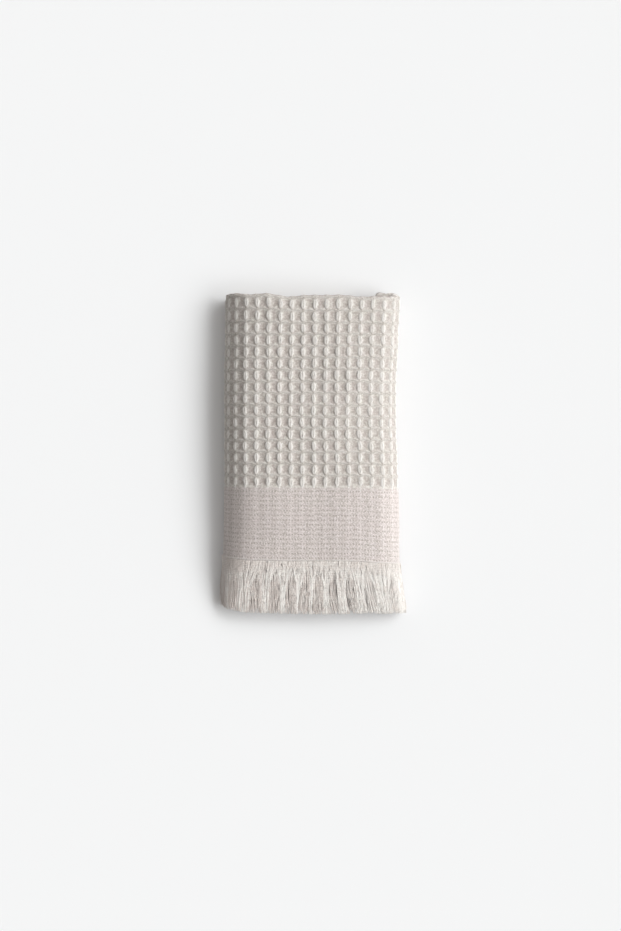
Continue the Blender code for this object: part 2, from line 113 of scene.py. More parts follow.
# Where the panels' ends lie, by the place on the letter fold: shifts of hem and fold along +Y,
# and changes of the fringe's reach, in millimetres
Place = namedtuple("Place", "at hem fold reach")
PLACES = [Place(at, *(shift * MM for shift in shifts)) for at, *shifts in (
    (0.00, 4.0, -3.0, -2.0),
    (1.00, 2.5, -1.0, -1.0),
    (2.00, 3.3, 1.6, -3.5),
    (3.00, 0.6, 1.2, 0.0),
    (3.30, 0.0, -1.1, 0.3),
    (3.62, -0.1, -0.8, 0.8),
    (3.86, -0.5, -0.9, -0.5),
    (4.00, -2.4, -1.2, -1.8),
    (5.00, -4.4, 1.2, -4.6),
    (6.00, -3.0, 3.0, -4.0),
    (6.014, -2.7, 3.9, -3.6),
    (6.036, -2.4, 4.0, -3.2),
    (6.054, -2.0, -1.6, -3.0),
    (7.00, 3.0, -3.0, -1.0),
)]
HEM_SHIFT_FADES_Y = 20.0 * MM
FOLD_SHIFT_FADES_Y = 95.0 * MM

# The outline seen from above, in millimetres, and the pile's height against HEIGHT
Section = namedtuple("Section", "y left right height")
SECTIONS = [Section(y * MM, left * MM, right * MM, height) for y, left, right, height in (
    (-155.0, -90.8, 94.4, 0.47),
    (-126.0, -88.4, 87.2, 0.67),
    (-103.0, -86.6, 83.6, 0.82),
    (-83.0, -85.6, 83.0, 0.88),
    (-38.0, -84.9, 82.5, 0.97),
    (30.0, -84.6, 80.6, 1.00),
    (90.0, -84.2, 81.5, 1.01),
    (125.0, -84.0, 83.0, 1.00),
    (147.0, -83.9, 84.4, 0.98),
    (150.5, -86.2, 84.7, 0.98),
    (152.5, -88.6, 84.9, 0.98),
)]
SWELL = 0.012
SWELL_X, SWELL_X_START = 17.0 * MM, 0.6
SWELL_Y, SWELL_Y_START = 29.0 * MM, 0.4

# The top slopes down to both sides: where its slopes start, how steep they get, and the
# length over which they bend
CROWN_LEFT_X = -32.0 * MM
CROWN_RIGHT_X = 18.0 * MM
CROWN_LEFT_SLOPE = 0.22
CROWN_RIGHT_SLOPE = 0.20
CROWN_BEND = 20.0 * MM

# Curves of the section: a straight at height z, or a quarter turn clockwise from start
Line = namedtuple("Line", "x0 x1 z")
Quarter = namedtuple("Quarter", "x z across up start")
Leg = namedtuple("Leg", "name outer inner")

LEFT_C = LEFT_X + LEFT_ROLL
RIGHT_C = RIGHT_X - RIGHT_ROLL
LEFT_FOOT = LEFT_X + LEFT_HEEL
RIGHT_FOOT = RIGHT_X - RIGHT_HEEL
HOLLOW_FOOT = LEFT_X + STACK + HOLLOW_HEEL
TOP_IN_Z = HEIGHT - STACK
SLOT_Z = TOP_IN_Z - PANEL_GAP / 2
SLOT = RIGHT_X - STACK - RIGHT_C
INNER_Z = STACK + PANEL_GAP

LEGS = [
    Leg("bottom third",
        Line(BOTTOM_FLAP_X, LEFT_FOOT, 0.0),
        Line(BOTTOM_FLAP_X, HOLLOW_FOOT, STACK)),
    Leg("left heel",
        Quarter(LEFT_FOOT, LEFT_BULGE_Z, LEFT_HEEL, LEFT_BULGE_Z, 270),
        Quarter(HOLLOW_FOOT, HOLLOW_BULGE_Z, HOLLOW_HEEL, HOLLOW_BULGE_Z - STACK, 270)),
    Leg("left shoulder",
        Quarter(LEFT_C, LEFT_BULGE_Z, LEFT_ROLL, HEIGHT - LEFT_BULGE_Z, 180),
        Quarter(LEFT_C, HOLLOW_BULGE_Z, LEFT_ROLL - STACK, TOP_IN_Z - HOLLOW_BULGE_Z, 180)),
    Leg("front third",
        Line(LEFT_C, RIGHT_C, HEIGHT),
        Line(LEFT_C, RIGHT_C, TOP_IN_Z)),
    Leg("right shoulder",
        Quarter(RIGHT_C, RIGHT_BULGE_Z, RIGHT_ROLL, HEIGHT - RIGHT_BULGE_Z, 90),
        Quarter(RIGHT_C, SLOT_Z, SLOT, PANEL_GAP / 2, 90)),
    Leg("right heel",
        Quarter(RIGHT_FOOT, RIGHT_BULGE_Z, RIGHT_HEEL, RIGHT_BULGE_Z - INNER_Z, 0),
        Quarter(RIGHT_C, SLOT_Z, SLOT, PANEL_GAP / 2, 0)),
    Leg("inner third",
        Line(RIGHT_FOOT, INNER_FLAP_X, INNER_Z),
        Line(RIGHT_C, INNER_FLAP_X, SLOT_Z - PANEL_GAP / 2)),
]
HEEL_L, SHOULDER_L, FRONT, SHOULDER_R, HEEL_R, INNER = range(1, 7)
LEG_STEPS = 40


def ease(value, start, end):
    """0 at start, 1 at end, smooth between them."""
    t = np.clip((value - start) / (end - start), 0.0, 1.0)
    return t * t * (3 - 2 * t)


def straight(table, column, at):
    """A column of a table at values of its first column, straight between the rows."""
    return np.interp(at, [row[0] for row in table], [getattr(row, column) for row in table])


def smooth(table, column, at):
    """The same on a smooth curve that doesn't overshoot its rows."""
    keys = np.array([row[0] for row in table])
    values = np.array([getattr(row, column) for row in table])
    slopes = np.diff(values) / np.diff(keys)
    before, after = np.append(slopes[0], slopes), np.append(slopes, slopes[-1])
    product, total = before * after, before + after
    tangents = np.where(product > 0, 2 * product / np.where(total == 0, 1, total), 0.0)
    at = np.clip(at, keys[0], keys[-1])
    i = np.clip(np.searchsorted(keys, at, side="right") - 1, 0, len(keys) - 2)
    gap = keys[i + 1] - keys[i]
    t = (at - keys[i]) / gap
    rise = t * t * (3 - 2 * t)
    return (values[i] * (1 - rise) + values[i + 1] * rise
            + gap * t * (1 - t) * (tangents[i] * (1 - t) - tangents[i + 1] * t))


def on_curve(curve, part):
    if isinstance(curve, Line):
        return curve.x0 + (curve.x1 - curve.x0) * part, curve.z + 0 * part
    angle = np.radians(curve.start - 90 * part)
    return curve.x + curve.across * np.cos(angle), curve.z + curve.up * np.sin(angle)


def section_point(place, w):
    """x and z of places along the letter fold, at heights w in the layers."""
    place, w = np.broadcast_arrays(np.asarray(place, float), np.asarray(w, float))
    x, z = np.empty(place.shape), np.empty(place.shape)
    legs = np.clip(place.astype(int), 0, len(LEGS) - 1)
    for number, leg in enumerate(LEGS):
        here = legs == number
        x_out, z_out = on_curve(leg.outer, place[here] - number)
        x_in, z_in = on_curve(leg.inner, place[here] - number)
        share = w[here] / STACK
        x[here] = x_in + (x_out - x_in) * share
        z[here] = z_in + (z_out - z_in) * share
    return x, z


STEPS = np.arange(len(LEGS) * LEG_STEPS + 1) / LEG_STEPS
STEP_X, STEP_Z = section_point(STEPS, STACK)
STEP_U = np.append(0.0, np.cumsum(np.hypot(np.diff(STEP_X), np.diff(STEP_Z))))
WHOLE = STEP_U[-1]


def place_at(u):
    """The place at length u from the bottom third's selvedge, along the outer face."""
    return np.interp(u, STEP_U, STEPS)


def length_at(place):
    return np.interp(place, STEPS, STEP_U)


WALL_U = length_at(FRONT) + WALL_X - LEFT_C
RIB_LOW_SHIFT = HEM_Y - RIB_LOW_Y


def crown(x):
    """The pile's height at x, against its height in the middle."""
    left, right = np.maximum(CROWN_LEFT_X - x, 0.0), np.maximum(x - CROWN_RIGHT_X, 0.0)
    return 1 - (CROWN_LEFT_SLOPE * (np.hypot(left, CROWN_BEND) - CROWN_BEND)
                + CROWN_RIGHT_SLOPE * (np.hypot(right, CROWN_BEND) - CROWN_BEND)) / HEIGHT


def spot(place, y, w):
    """Where points of the folded cloth lie, on the uneven pile: an array with rows x, y, z."""
    place, y, w = np.broadcast_arrays(place, y, w)
    x, z = section_point(place, w)
    z = z * crown(x)
    y = y + straight(PLACES, "hem", place) * ease(y, HEM_SHIFT_FADES_Y, HEM_Y)
    y = y + smooth(PLACES, "fold", place) * ease(y, FOLD_SHIFT_FADES_Y, FOLD_Y)
    left = smooth(SECTIONS, "left", y) - LEFT_X
    right = smooth(SECTIONS, "right", y) - RIGHT_X
    x = x + left + (right - left) * (x - LEFT_X) / (RIGHT_X - LEFT_X)
    swell = 1 + (SWELL * np.sin(x / SWELL_X + SWELL_X_START)
                 * np.sin(y / SWELL_Y + SWELL_Y_START))
    return np.stack([x - MIDDLE_X, y - MIDDLE_Y,
                     z * smooth(SECTIONS, "height", y) * swell], axis=-1)


# Half-turn bends about (y, w): half sizes along y and w
Bend = namedtuple("Bend", "y w along up")
CREASE_Y = FOLD_Y - 6.8 * MM
MID_CREASE_Y = MID_FOLD_Y + 3.2 * MM
CROSS_BEND = Bend(CREASE_Y, STACK / 2, 6.8 * MM, STACK / 2)
CROSS_BEND_IN = Bend(CREASE_Y, STACK / 2, 3.9 * MM, STACK / 2 - CLOTH)
INNER_BEND = Bend(CREASE_Y, STACK / 2, 3.4 * MM, -CLOTH - LAYER_GAP / 2)
INNER_BEND_IN = Bend(CREASE_Y, STACK / 2, 0.8 * MM, -LAYER_GAP / 2)
MID_BEND = Bend(MID_CREASE_Y, CLOTH + LAYER_GAP / 2, -3.2 * MM, -CLOTH - LAYER_GAP / 2)
MID_BEND_IN = Bend(MID_CREASE_Y, CLOTH + LAYER_GAP / 2, -0.8 * MM, -LAYER_GAP / 2)
GIRTH = math.pi * math.sqrt((CROSS_BEND.along ** 2 + CROSS_BEND.up ** 2) / 2)
MID_GIRTH = math.pi * MID_BEND.up / -2 * 2

# Lengths along the cloth from the outer hem, at the ends of its strips and bends
V_CREASE = CREASE_Y - HEM_Y
V_INNERMOST = V_CREASE + GIRTH
V_MIDDLE = V_INNERMOST + CREASE_Y - MID_CREASE_Y
V_INSIDE = V_MIDDLE + MID_GIRTH
V_INNER_CROSS = V_INSIDE + CREASE_Y - MID_CREASE_Y
V_BACK = V_INNER_CROSS + MID_GIRTH
V_END = V_BACK + CREASE_Y - BACK_HEM_Y
BAND_V = BAND_TOP_Y - HEM_Y


def around(bend, part, rise=0.0):
    """y and w on a bend, with part of its half turn gone and rise over its face."""
    angle = math.pi * (0.5 - np.asarray(part))
    return (bend.y + (bend.along + rise) * np.cos(angle),
            bend.w + (bend.up + rise) * np.sin(angle))


# ---- small random fields ----------------------------------------------------------------------

LATTICE = 64


def wander(u, v, size, seed):
    """Smooth random values from -1 to 1 that change over about size."""
    table = np.random.default_rng(seed).uniform(-1, 1, (LATTICE, LATTICE))
    x, y = np.asarray(u) / size, np.asarray(v) / size
    i, j = np.floor(x).astype(int), np.floor(y).astype(int)
    s, t = x - i, y - j
    s, t = s * s * (3 - 2 * s), t * t * (3 - 2 * t)
    i, j, i1, j1 = i % LATTICE, j % LATTICE, (i + 1) % LATTICE, (j + 1) % LATTICE
    return ((table[i, j] * (1 - s) + table[i1, j] * s) * (1 - t)
            + (table[i, j1] * (1 - s) + table[i1, j1] * s) * t)


# ---- settings ---------------------------------------------------------------------------------

def a_length(name, about, value, least=0.0):
    return FloatProperty(name=name, description=about, default=value, min=least, unit="LENGTH",
                         precision=5)


def a_colour(name, about, *value):
    return FloatVectorProperty(name=name, description=about, default=value, min=0.0, max=1.0,
                               subtype="COLOR")


def a_count(name, about, value, least):
    return IntProperty(name=name, description=about, default=value, min=least)


def a_share(name, about, value, most=1.0):
    return FloatProperty(name=name, description=about, default=value, min=0.0, max=most,
                         subtype="FACTOR")


def a_strength(name, about, value):
    return FloatProperty(name=name, description=about, default=value, min=0.0)


def an_angle(name, about, degrees):
    return FloatProperty(name=name, description=about, default=math.radians(degrees),
                         subtype="ANGLE")


class TowelClothSettings(bpy.types.PropertyGroup):
    wall_height: a_length("Wall height", "Height of the waffle's walls over the cloth's face",
                          0.1 * MM)
    pit_depth: a_length("Pit depth", "Depth of the cells below the cloth's face", 1.28 * MM)
    rib_height: a_length("Rib height", "Height of the flat band's ribs", 0.10 * MM)
    unevenness: a_length("Unevenness", "How far the cloth waves between its folds", 0.55 * MM)
    yarn_pitch: a_length("Yarn pitch", "Distance between neighbouring yarns", CELL_U / 8, 0.0002)
    colour: a_colour("Cotton", "Colour of the cotton where light reaches it",
                     0.775, 0.725, 0.69)
    cool_colour: a_colour("Cool cotton", "Another colour of the cotton, here and there",
                          0.765, 0.745, 0.685)
    # The two deep colours are the dark end of the cotton's random mottling and the colour of the
    # shade painted in the cells, between yarns and round the fold
    deep_colour: a_colour("Deep cotton", "Colour deep in the cells and between yarns",
                          0.47, 0.425, 0.38)
    warm_colour: a_colour("Warm cotton", "Another colour deep in the cells, here and there",
                          0.50, 0.425, 0.40)
    band_colour: a_colour("Band", "Colour of the flat band", 0.80, 0.73, 0.712)
    # Lighter than the cloth's cotton, though it is the same yarn: a painted highlight where the
    # floats catch the light
    yarn_colour: a_colour("Yarns", "Colour of the yarns that float over the waffle's walls",
                          0.865, 0.835, 0.80)
    wall_yarns: a_count("Yarns a wall", "How many yarns float over each wall", 4, 2)
    ridge_yarns: a_count("Yarns a ridge", "How many yarns run along each ridge", 2, 2)
    yarn_radius: a_length("Yarn radius", "Half the thickness of a floating yarn", 0.38 * MM)
    wall_half: a_length("Half a wall", "Half the width that a wall's yarns spread to", 1.8 * MM)


class TowelFringeSettings(bpy.types.PropertyGroup):
    guides: a_count("Guides", "Guides along the outer fringe, which its threads follow", 170, 10)
    back_guides: a_count("Back guides", "Guides along the back fringe", 80, 10)
    threads: a_count("Threads a guide", "How many threads follow each guide", 18, 1)
    thread_radius: a_length("Thread radius", "Half the thickness of a thread", 0.25 * MM)
    crossing: a_length("Crossing", "How far aside of its guide a thread leaves the hem", 2.6 * MM)
    lock_spread: a_length("Lock spread", "How far threads spread round their guide at the tips",
                          1.7 * MM)
    wave: a_length("Wave", "How far a thread sways at its tip", 0.9 * MM)
    ends_vary: a_share("Uneven ends", "Greatest share that is missing from a thread's end",
                       0.10, 0.9)
    seed: a_count("Seed", "Changes how the threads lie", 7, 0)
    colour: a_colour("Threads", "Colour of the loose threads", 0.965, 0.94, 0.90)
    # The colour toward which shade is painted on the threads, and the dark end of the threads'
    # and hem yarn's random tone
    deep_colour: a_colour("Deep threads", "Colour of the threads between the locks",
                          0.755, 0.68, 0.635)
    hem_colour: a_colour("Hem yarn", "Colour of the yarn along each hem", 0.75, 0.71, 0.675)
    hem_yarn_radius: a_length("Hem yarn radius", "Half the thickness of a ply of the hem's yarn",
                              0.34 * MM)


class TowelStageSettings(bpy.types.PropertyGroup):
    floor_colour: a_colour("Floor", "Colour of the floor", 0.90, 0.90, 0.905)
    key_strength: a_strength("Key light", "Strength of the soft light from the right", 3.38)
    key_elevation: an_angle("Key elevation", "Height of the key light above the floor", 35)
    key_turn: an_angle("Key turn", "Turn of the key light from +X towards +Y", 11)
    key_spread: an_angle("Key spread", "Angle that each sun of the key light fills", 28)
    key_width: an_angle("Key width", "Angle between the outer suns of the key light", 56)
    fill_lean: a_share("Fill lean", "How much brighter the room is on the right", 0.6)
    fill_strength: a_strength("Fill light", "Strength of the light from all round", 0.42)
    camera_height: a_length("Camera height", "Height of the camera above the floor", 1.55)


def settings():
    scene = bpy.context.scene
    return scene.towel_cloth, scene.towel_fringe, scene.towel_stage


# ---- node trees -------------------------------------------------------------------------------

class Value:
    """A socket in a node tree.  Sums and products of values add the tree's own Math nodes."""

    def __init__(self, tree, socket):
        self.tree = tree
        self.socket = socket

    def math(self, operation, *numbers):
        return self.tree.node("ShaderNodeMath", dict(enumerate((self, *numbers))),
                              operation=operation)

    def __add__(self, other):
        return self.math("ADD", other)

    def __sub__(self, other):
        return self.math("SUBTRACT", other)

    def __rsub__(self, other):
        return (self * -1) + other

    def __mul__(self, other):
        return self.math("MULTIPLY", other)

    def __truediv__(self, other):
        return self.math("DIVIDE", other)

    def __pow__(self, other):
        return self.math("POWER", other)

    __radd__ = __add__
    __rmul__ = __mul__

    def least(self, other):
        return self.math("MINIMUM", other)

    def most(self, other):
        return self.math("MAXIMUM", other)

    def output(self, name):
        """Another output of the same node."""
        return Value(self.tree, self.socket.node.outputs[name])


class NodeTree:
    """A node tree that is built node by node."""

    def __init__(self, tree):
        self.tree = tree

    def node(self, kind, sockets=None, output=0, **settings):
        """Adds a node with its settings and the values or links of its sockets, and gives one
        of its outputs."""
        node = self.tree.nodes.new(kind)
        for name, value in settings.items():
            setattr(node, name, value)
        for name, value in (sockets or {}).items():
            if isinstance(value, Value):
                self.tree.links.new(value.socket, node.inputs[name])
            else:
                node.inputs[name].default_value = value
        return Value(self, node.outputs[output] if node.outputs else None)

    def parts(self, vector):
        """The x, y and z of a vector."""
        x = self.node("ShaderNodeSeparateXYZ", {0: vector})
        return x, x.output("Y"), x.output("Z")

    def ease(self, value, start, end):
        """0 at start, 1 at end, smooth between them."""
        return self.node("ShaderNodeMapRange",
                         {"Value": value, "From Min": start, "From Max": end},
                         interpolation_type="SMOOTHSTEP")


class Paint(NodeTree):
    """A material and its nodes."""

    def __init__(self, name):
        self.material = bpy.data.materials.new(name)
        self.material.use_nodes = True
        self.material.node_tree.nodes.clear()
        super().__init__(self.material.node_tree)

    def wave(self, length, pitch):
        """From 0 to 1 and back in each pitch of a length."""
        return (length * (math.tau / pitch)).math("SINE") * 0.5 + 0.5

    def mix(self, share, one, two):
        """A colour between two."""
        return self.node("ShaderNodeMix", {0: share, 6: one, 7: two}, 2, data_type="RGBA")

    def noise(self, vector, size, detail=2.0, roughness=0.5):
        return self.node("ShaderNodeTexNoise",
                         {"Vector": vector, "Scale": 1 / size, "Detail": detail,
                          "Roughness": roughness})

    def attribute(self, name):
        return self.node("ShaderNodeAttribute", attribute_name=name)

    def finish(self, colour, roughness, height, distance, fixed):
        """Ends the material in a shader with a bump of a height and with fixed values."""
        normal = self.node("ShaderNodeBump",
                           {"Height": height, "Distance": distance, "Strength": 1.0})
        return self.shine({"Base Color": colour, "Roughness": roughness, "Normal": normal,
                           **fixed})

    def shine(self, sockets):
        """Ends the material in a plain Principled shader."""
        shader = self.node("ShaderNodeBsdfPrincipled", sockets)
        self.node("ShaderNodeOutputMaterial", {"Surface": shader})
        return self.material


def opaque(colour):
    return (*colour, 1.0)


def placed(name, data):
    """A new object in the scene."""
    thing = bpy.data.objects.new(name, data)
    bpy.context.collection.objects.link(thing)
    return thing


SOFT_COTTON = {
    "Specular IOR Level": 0.2,
    "Sheen Weight": 0.25,
    "Sheen Roughness": 0.5,
    "Subsurface Weight": 0.12,
    "Subsurface Radius": (1.0, 0.9, 0.8),
    "Subsurface Scale": 0.0015,
}
SOFT_THREADS = {**SOFT_COTTON, "Subsurface Weight": 0.1, "Sheen Weight": 0.45}

CLOTH_ROUGHNESS, CLOTH_BUMP = 0.92, 1.0 * MM
YARN_ROUGHNESS, YARN_BUMP = 0.9, 0.12 * MM
YARN_FLUFF_GRAIN, YARN_TONE_GRAIN = 1.1 * MM, 6 * MM

# Sizes of the cotton's unevenness, and how far it shifts the yarns
FLUFF_GRAIN = 1.3 * MM
SPECK_GRAIN = 2.0 * MM
TINT_GRAIN = 8 * MM
SLUB_GRAIN = 11 * MM
CLOUD_GRAIN = 24 * MM
SLUB_SHIFT = 1.2 * MM
FLUFF_SHIFT = 0.7 * MM
TINT_START, TINT_CONTRAST = 0.3, 2.5

# How much the cloth's colour deepens, by what is there, from 0 for light to 1 for deep. Most of
# it is painted
# shade: in the cells and other hollows, at the pinches, in the band's dents and between its
# yarns, and round the cross fold. The specks and fluff are the cotton's own random tone.
DEEPER = 0.05
PAINTED_SHADE_IN_HOLLOWS = 0.6
PAINTED_SHADE_AT_PINCHES = 0.5
DEEPER_SPECKS = 2.3
DEEPER_FLUFF, BAND_FLUFF = 0.4, 0.9
PAINTED_SHADE_IN_DENTS = 0.9
PAINTED_SHADE_BETWEEN_YARNS = 0.3
BAND_LIGHTER = 0.42
COLUMN_LIGHTER = 0.2
PAINTED_SHADE_ON_FOLD = 0.5
# Where the cross fold bends away from above and from the light: a band of painted shade
FOLD_SHADE_FROM, FOLD_SHADE_TO = V_CREASE + 6 * MM, V_CREASE + 7.2 * MM


def cloth_material(cloth):
    """Waffle cotton: a plain weave in the cells and on the band, mottled as fluffy cotton is,
    with shade painted into its colour in the cells, at the pinches, in the band's hollows and
    round the cross fold.
    The weave map has metres of flat cloth, the marks say what is where."""
    paint = Paint("waffle cotton")
    flat = paint.node("ShaderNodeUVMap", uv_map="weave")
    u, v, _ = paint.parts(flat)
    marks = paint.attribute("marks")
    # The pinch and depth marks are masks for painted shade: at the pinches, in the cells, between
    # the band's ribs and along its end
    _, pinch, depth = paint.parts(marks)
    band = marks.output("Alpha")
    fluff = paint.noise(flat, FLUFF_GRAIN, 3.0, 0.65)
    slub = paint.noise(flat, SLUB_GRAIN)
    shift = (slub - 0.5) * SLUB_SHIFT
    upright = paint.wave(u + shift, cloth.yarn_pitch)
    level = paint.wave(v + shift * 0.6, RIB_PITCH / 2)
    plain = upright * level + (1 - upright) * (1 - level)
    row = paint.wave(v + shift * 0.15 + (RIB_LOW_SHIFT - 0.25 * RIB_PITCH), RIB_PITCH)
    # The band's dots are small dents, sunk in the bump and given painted shade, as are the gaps
    # between its upright yarns
    dents = paint.wave(u + shift + fluff * FLUFF_SHIFT, 2 * cloth.yarn_pitch)
    dots = (1 - dents) ** 3 * (row ** 5.0) * band
    height = plain * 0.22 + fluff - dots * 0.3
    clouds = paint.noise(flat, CLOUD_GRAIN)
    speck = paint.noise(flat, SPECK_GRAIN, 2.0, 0.6)
    tint = paint.noise(flat, TINT_GRAIN, 1.0)
    cotton = paint.mix((tint - TINT_START) * TINT_CONTRAST,
                       opaque(cloth.colour), opaque(cloth.cool_colour))
    light = paint.mix(band, cotton, opaque(cloth.band_colour))
    dark = paint.mix(clouds, opaque(cloth.deep_colour), opaque(cloth.warm_colour))
    column = paint.wave(u - (WALL_U - CELL_U / 4), CELL_U) ** 2 * band
    # Painted shade round the cross fold, where it bends down away from the light
    fold_shade = paint.ease(v, FOLD_SHADE_FROM, FOLD_SHADE_TO) * u.math("LESS_THAN", length_at(HEEL_R))
    shade = (depth * PAINTED_SHADE_IN_HOLLOWS + pinch * PAINTED_SHADE_AT_PINCHES + (speck - 0.5) * DEEPER_SPECKS
             + (1 - fluff) * (band * BAND_FLUFF + DEEPER_FLUFF) + dots * PAINTED_SHADE_IN_DENTS
             + (1 - upright) * band * PAINTED_SHADE_BETWEEN_YARNS - band * BAND_LIGHTER
             - column * COLUMN_LIGHTER + fold_shade * PAINTED_SHADE_ON_FOLD + DEEPER)
    colour = paint.mix(shade.least(1.0).most(0.0), light, dark)
    return paint.finish(colour, CLOTH_ROUGHNESS, height, CLOTH_BUMP, SOFT_COTTON)


def yarn_material(name, colour, deep_colour, twist_pitch, fixed):
    """Cotton yarn or thread, with its twist, paler and deeper strands, and the shade painted on
    its guides.
    """
    paint = Paint(name)
    along, round_it, luck, shaded = [
        paint.attribute(label).output("Fac")
        for label in ("strand_along", "strand_turn", "strand_luck", "shaded")]
    place = paint.node("ShaderNodeTexCoord", output="Object")
    twist = paint.wave(along + round_it * twist_pitch, twist_pitch)
    fluff = paint.noise(place, YARN_FLUFF_GRAIN, 3.0, 0.6)
    tone = paint.noise(place, YARN_TONE_GRAIN, 1.0)
    height = twist * 0.4 + fluff * 0.6
    # shaded is the painted shade from the guides; luck, tone and fluff are the cotton's own
    # random tone
    shade = luck * 0.2 + (tone - 0.5) * 0.8 + (0.5 - fluff) * 1.2 + shaded
    colour = paint.mix(shade.least(1.0).most(0.0), opaque(colour), opaque(deep_colour))
    return paint.finish(colour, YARN_ROUGHNESS, height, YARN_BUMP, fixed)


# ---- meshes -----------------------------------------------------------------------------------

class Fabric:
    """A closed mesh sewn together from chains of points, with its flat place at each point."""

    def __init__(self, name):
        self.name = name
        self.points, self.flat, self.bake, self.marks = [], [], [], []
        self.faces, self.rims = [], []
        self.count = 0

    def chain(self, points, keys, flat, bake, marks=None):
        """Adds a row of points; returns its keys and the points' numbers."""
        start = self.count
        self.count += len(points)
        self.points.append(points)
        self.flat.append(flat)
        self.bake.append(bake)
        self.marks.append(np.zeros((len(points), 4)) if marks is None else marks)
        return list(keys), list(range(start, self.count))

    def sew(self, one, two, rim=None):
        """Faces between two chains, quads where their keys agree.  rim gives the flat and the
        bake map's shift from one to two, where they belong to the cloth's two faces."""
        (keys_1, verts_1), (keys_2, verts_2) = one, two
        i = j = 0
        while i < len(keys_1) - 1 or j < len(keys_2) - 1:
            ahead = keys_1[i + 1] if i < len(keys_1) - 1 else math.inf
            across = keys_2[j + 1] if j < len(keys_2) - 1 else math.inf
            face = [(verts_1[i], 0), (verts_2[j], 1)]
            if abs(ahead - across) < 1e-6:
                face += [(verts_2[j + 1], 1), (verts_1[i + 1], 0)]
                i, j = i + 1, j + 1
            elif ahead < across:
                face.append((verts_1[i + 1], 0))
                i += 1
            else:
                face.append((verts_2[j + 1], 1))
                j += 1
            if rim:
                near = verts_1[i]
                self.rims.append((len(self.faces), [(near, side) for _, side in face], rim))
            self.faces.append([vert for vert, _ in face])

    def finish(self, material):
        points = np.concatenate(self.points)
        flat, bake = np.concatenate(self.flat), np.concatenate(self.bake)
        data = bpy.data.meshes.new(self.name)
        data.from_pydata(points.tolist(), [], self.faces)
        corners = np.empty(len(data.loops), np.int32)
        data.loops.foreach_get("vertex_index", corners)
        starts = np.empty(len(data.polygons), np.int32)
        data.polygons.foreach_get("loop_start", starts)
        for name, places, which in (("weave", flat, 0), ("OFBake", bake, 1)):
            found = places[corners]
            for number, sides, rim in self.rims:
                for corner, (near, side) in enumerate(sides):
                    found[starts[number] + corner] = (places[near][0] + side * rim[which][0],
                                                      places[near][1] + side * rim[which][1])
            layer = data.uv_layers.new(name=name)
            layer.uv.foreach_set("vector", found.astype(np.float32).ravel())
        marks = data.color_attributes.new("marks", "FLOAT_COLOR", "POINT")
        marks.data.foreach_set("color", np.concatenate(self.marks).astype(np.float32).ravel())
        mesh = bmesh.new()
        mesh.from_mesh(data)
        bmesh.ops.recalc_face_normals(mesh, faces=mesh.faces[:])
        mesh.to_mesh(data)
        mesh.free()
        data.materials.append(material)
        data.shade_smooth()
        return placed(self.name, data)


# ---- the cloth --------------------------------------------------------------------------------

FINE = 10                   # columns and rows in a cell where the cloth shows
COARSE = 5                  # columns in a cell under the towel
HIDDEN = 1                  # columns in a cell inside it
LEAST_COLUMN = 0.2 * MM     # a column closer than this to the last one is left out
RIB_STEPS = 4
BEND_STEPS = 6
STEP_PLACES = (6.014, 6.036, 6.054)     # of the step above the top right corner
EDGE_ROUND = 1.6 * MM       # how far in from an edge the cloth starts to thin
EDGE_THIN = 0.36            # share of its thickness lost on each face at the very edge
EDGE_COLUMNS = (0.0, EDGE_ROUND * 0.3, EDGE_ROUND)
EDGE_FREE = EDGE_ROUND * 1.2    # how far from an edge the cells' own columns start


def places_along(steps_at):
    """Places for a row of points.  steps_at gives the columns a cell on each leg."""
    rows = {*EDGE_COLUMNS, *(WHOLE - u for u in EDGE_COLUMNS)}
    for leg, steps in enumerate(steps_at):
        start, end = length_at(leg), length_at(leg + 1)
        step = CELL_U / steps
        first, last = math.ceil((start - WALL_U) / step), math.floor((end - WALL_U) / step)
        rows.update(WALL_U + k * step for k in range(first, last + 1)
                    if EDGE_FREE < WALL_U + k * step < WHOLE - EDGE_FREE)
    rows.update(length_at(place) for place in STEP_PLACES)
    lengths = sorted(rows)
    kept = [lengths[0]]
    for u in lengths[1:]:
        if u - kept[-1] > LEAST_COLUMN:
            kept.append(u)
    kept[-1] = WHOLE
    return np.array(kept)


WAFFLE_U = places_along((COARSE, FINE, FINE, FINE, FINE, FINE, HIDDEN))
BAND_U = places_along((2, COARSE, COARSE, COARSE, COARSE, COARSE, HIDDEN))
HIDDEN_U = places_along((HIDDEN, 2, HIDDEN, HIDDEN, HIDDEN, 2, HIDDEN))


def edge_thinning(u, v):
    """Share of the thickness lost on each face near the selvedges and the hems."""
    inward = np.minimum(np.minimum(u, WHOLE - u), np.minimum(v, V_END - v))
    return EDGE_THIN * (1 - np.sqrt(1 - (1 - np.clip(inward / EDGE_ROUND, 0, 1)) ** 2))


def press(place):
    """1 where the cloth shows freely, 0 where it is pressed under the towel or inside it."""
    return ease(place, HEEL_L - 0.05, HEEL_L + 0.6) * ease(place, INNER + 0.05, HEEL_R + 0.5)


# How the weave strays from an even one: how far, over what length it changes, and its seed
STRAY_U = ((0.5 * MM, 9 * MM, 1), (0.25 * MM, 31 * MM, 2))
STRAY_V = ((0.4 * MM, 10 * MM, 3), (0.45 * MM, 37 * MM, 4))
FOLD_STRETCH = 1.6 * MM     # how much longer the last cells before the cross fold are
STRETCH_FROM, STRETCH_TO = V_CREASE - 18 * MM, V_CREASE + 3 * MM
BENT_FROM, BENT_TO = V_CREASE + 2.5 * MM, V_CREASE + 6.5 * MM
FOLD_FLATTENS = 0.55        # share of the relief that is lost round the cross fold


def wobbled(u, v):
    """Where a point would lie on an even weave."""
    stretch = FOLD_STRETCH * ease(v, STRETCH_FROM, STRETCH_TO)
    return (u + sum(far * wander(u, v, size, seed) for far, size, seed in STRAY_U),
            v + sum(far * wander(u, v, size, seed) for far, size, seed in STRAY_V) - stretch)


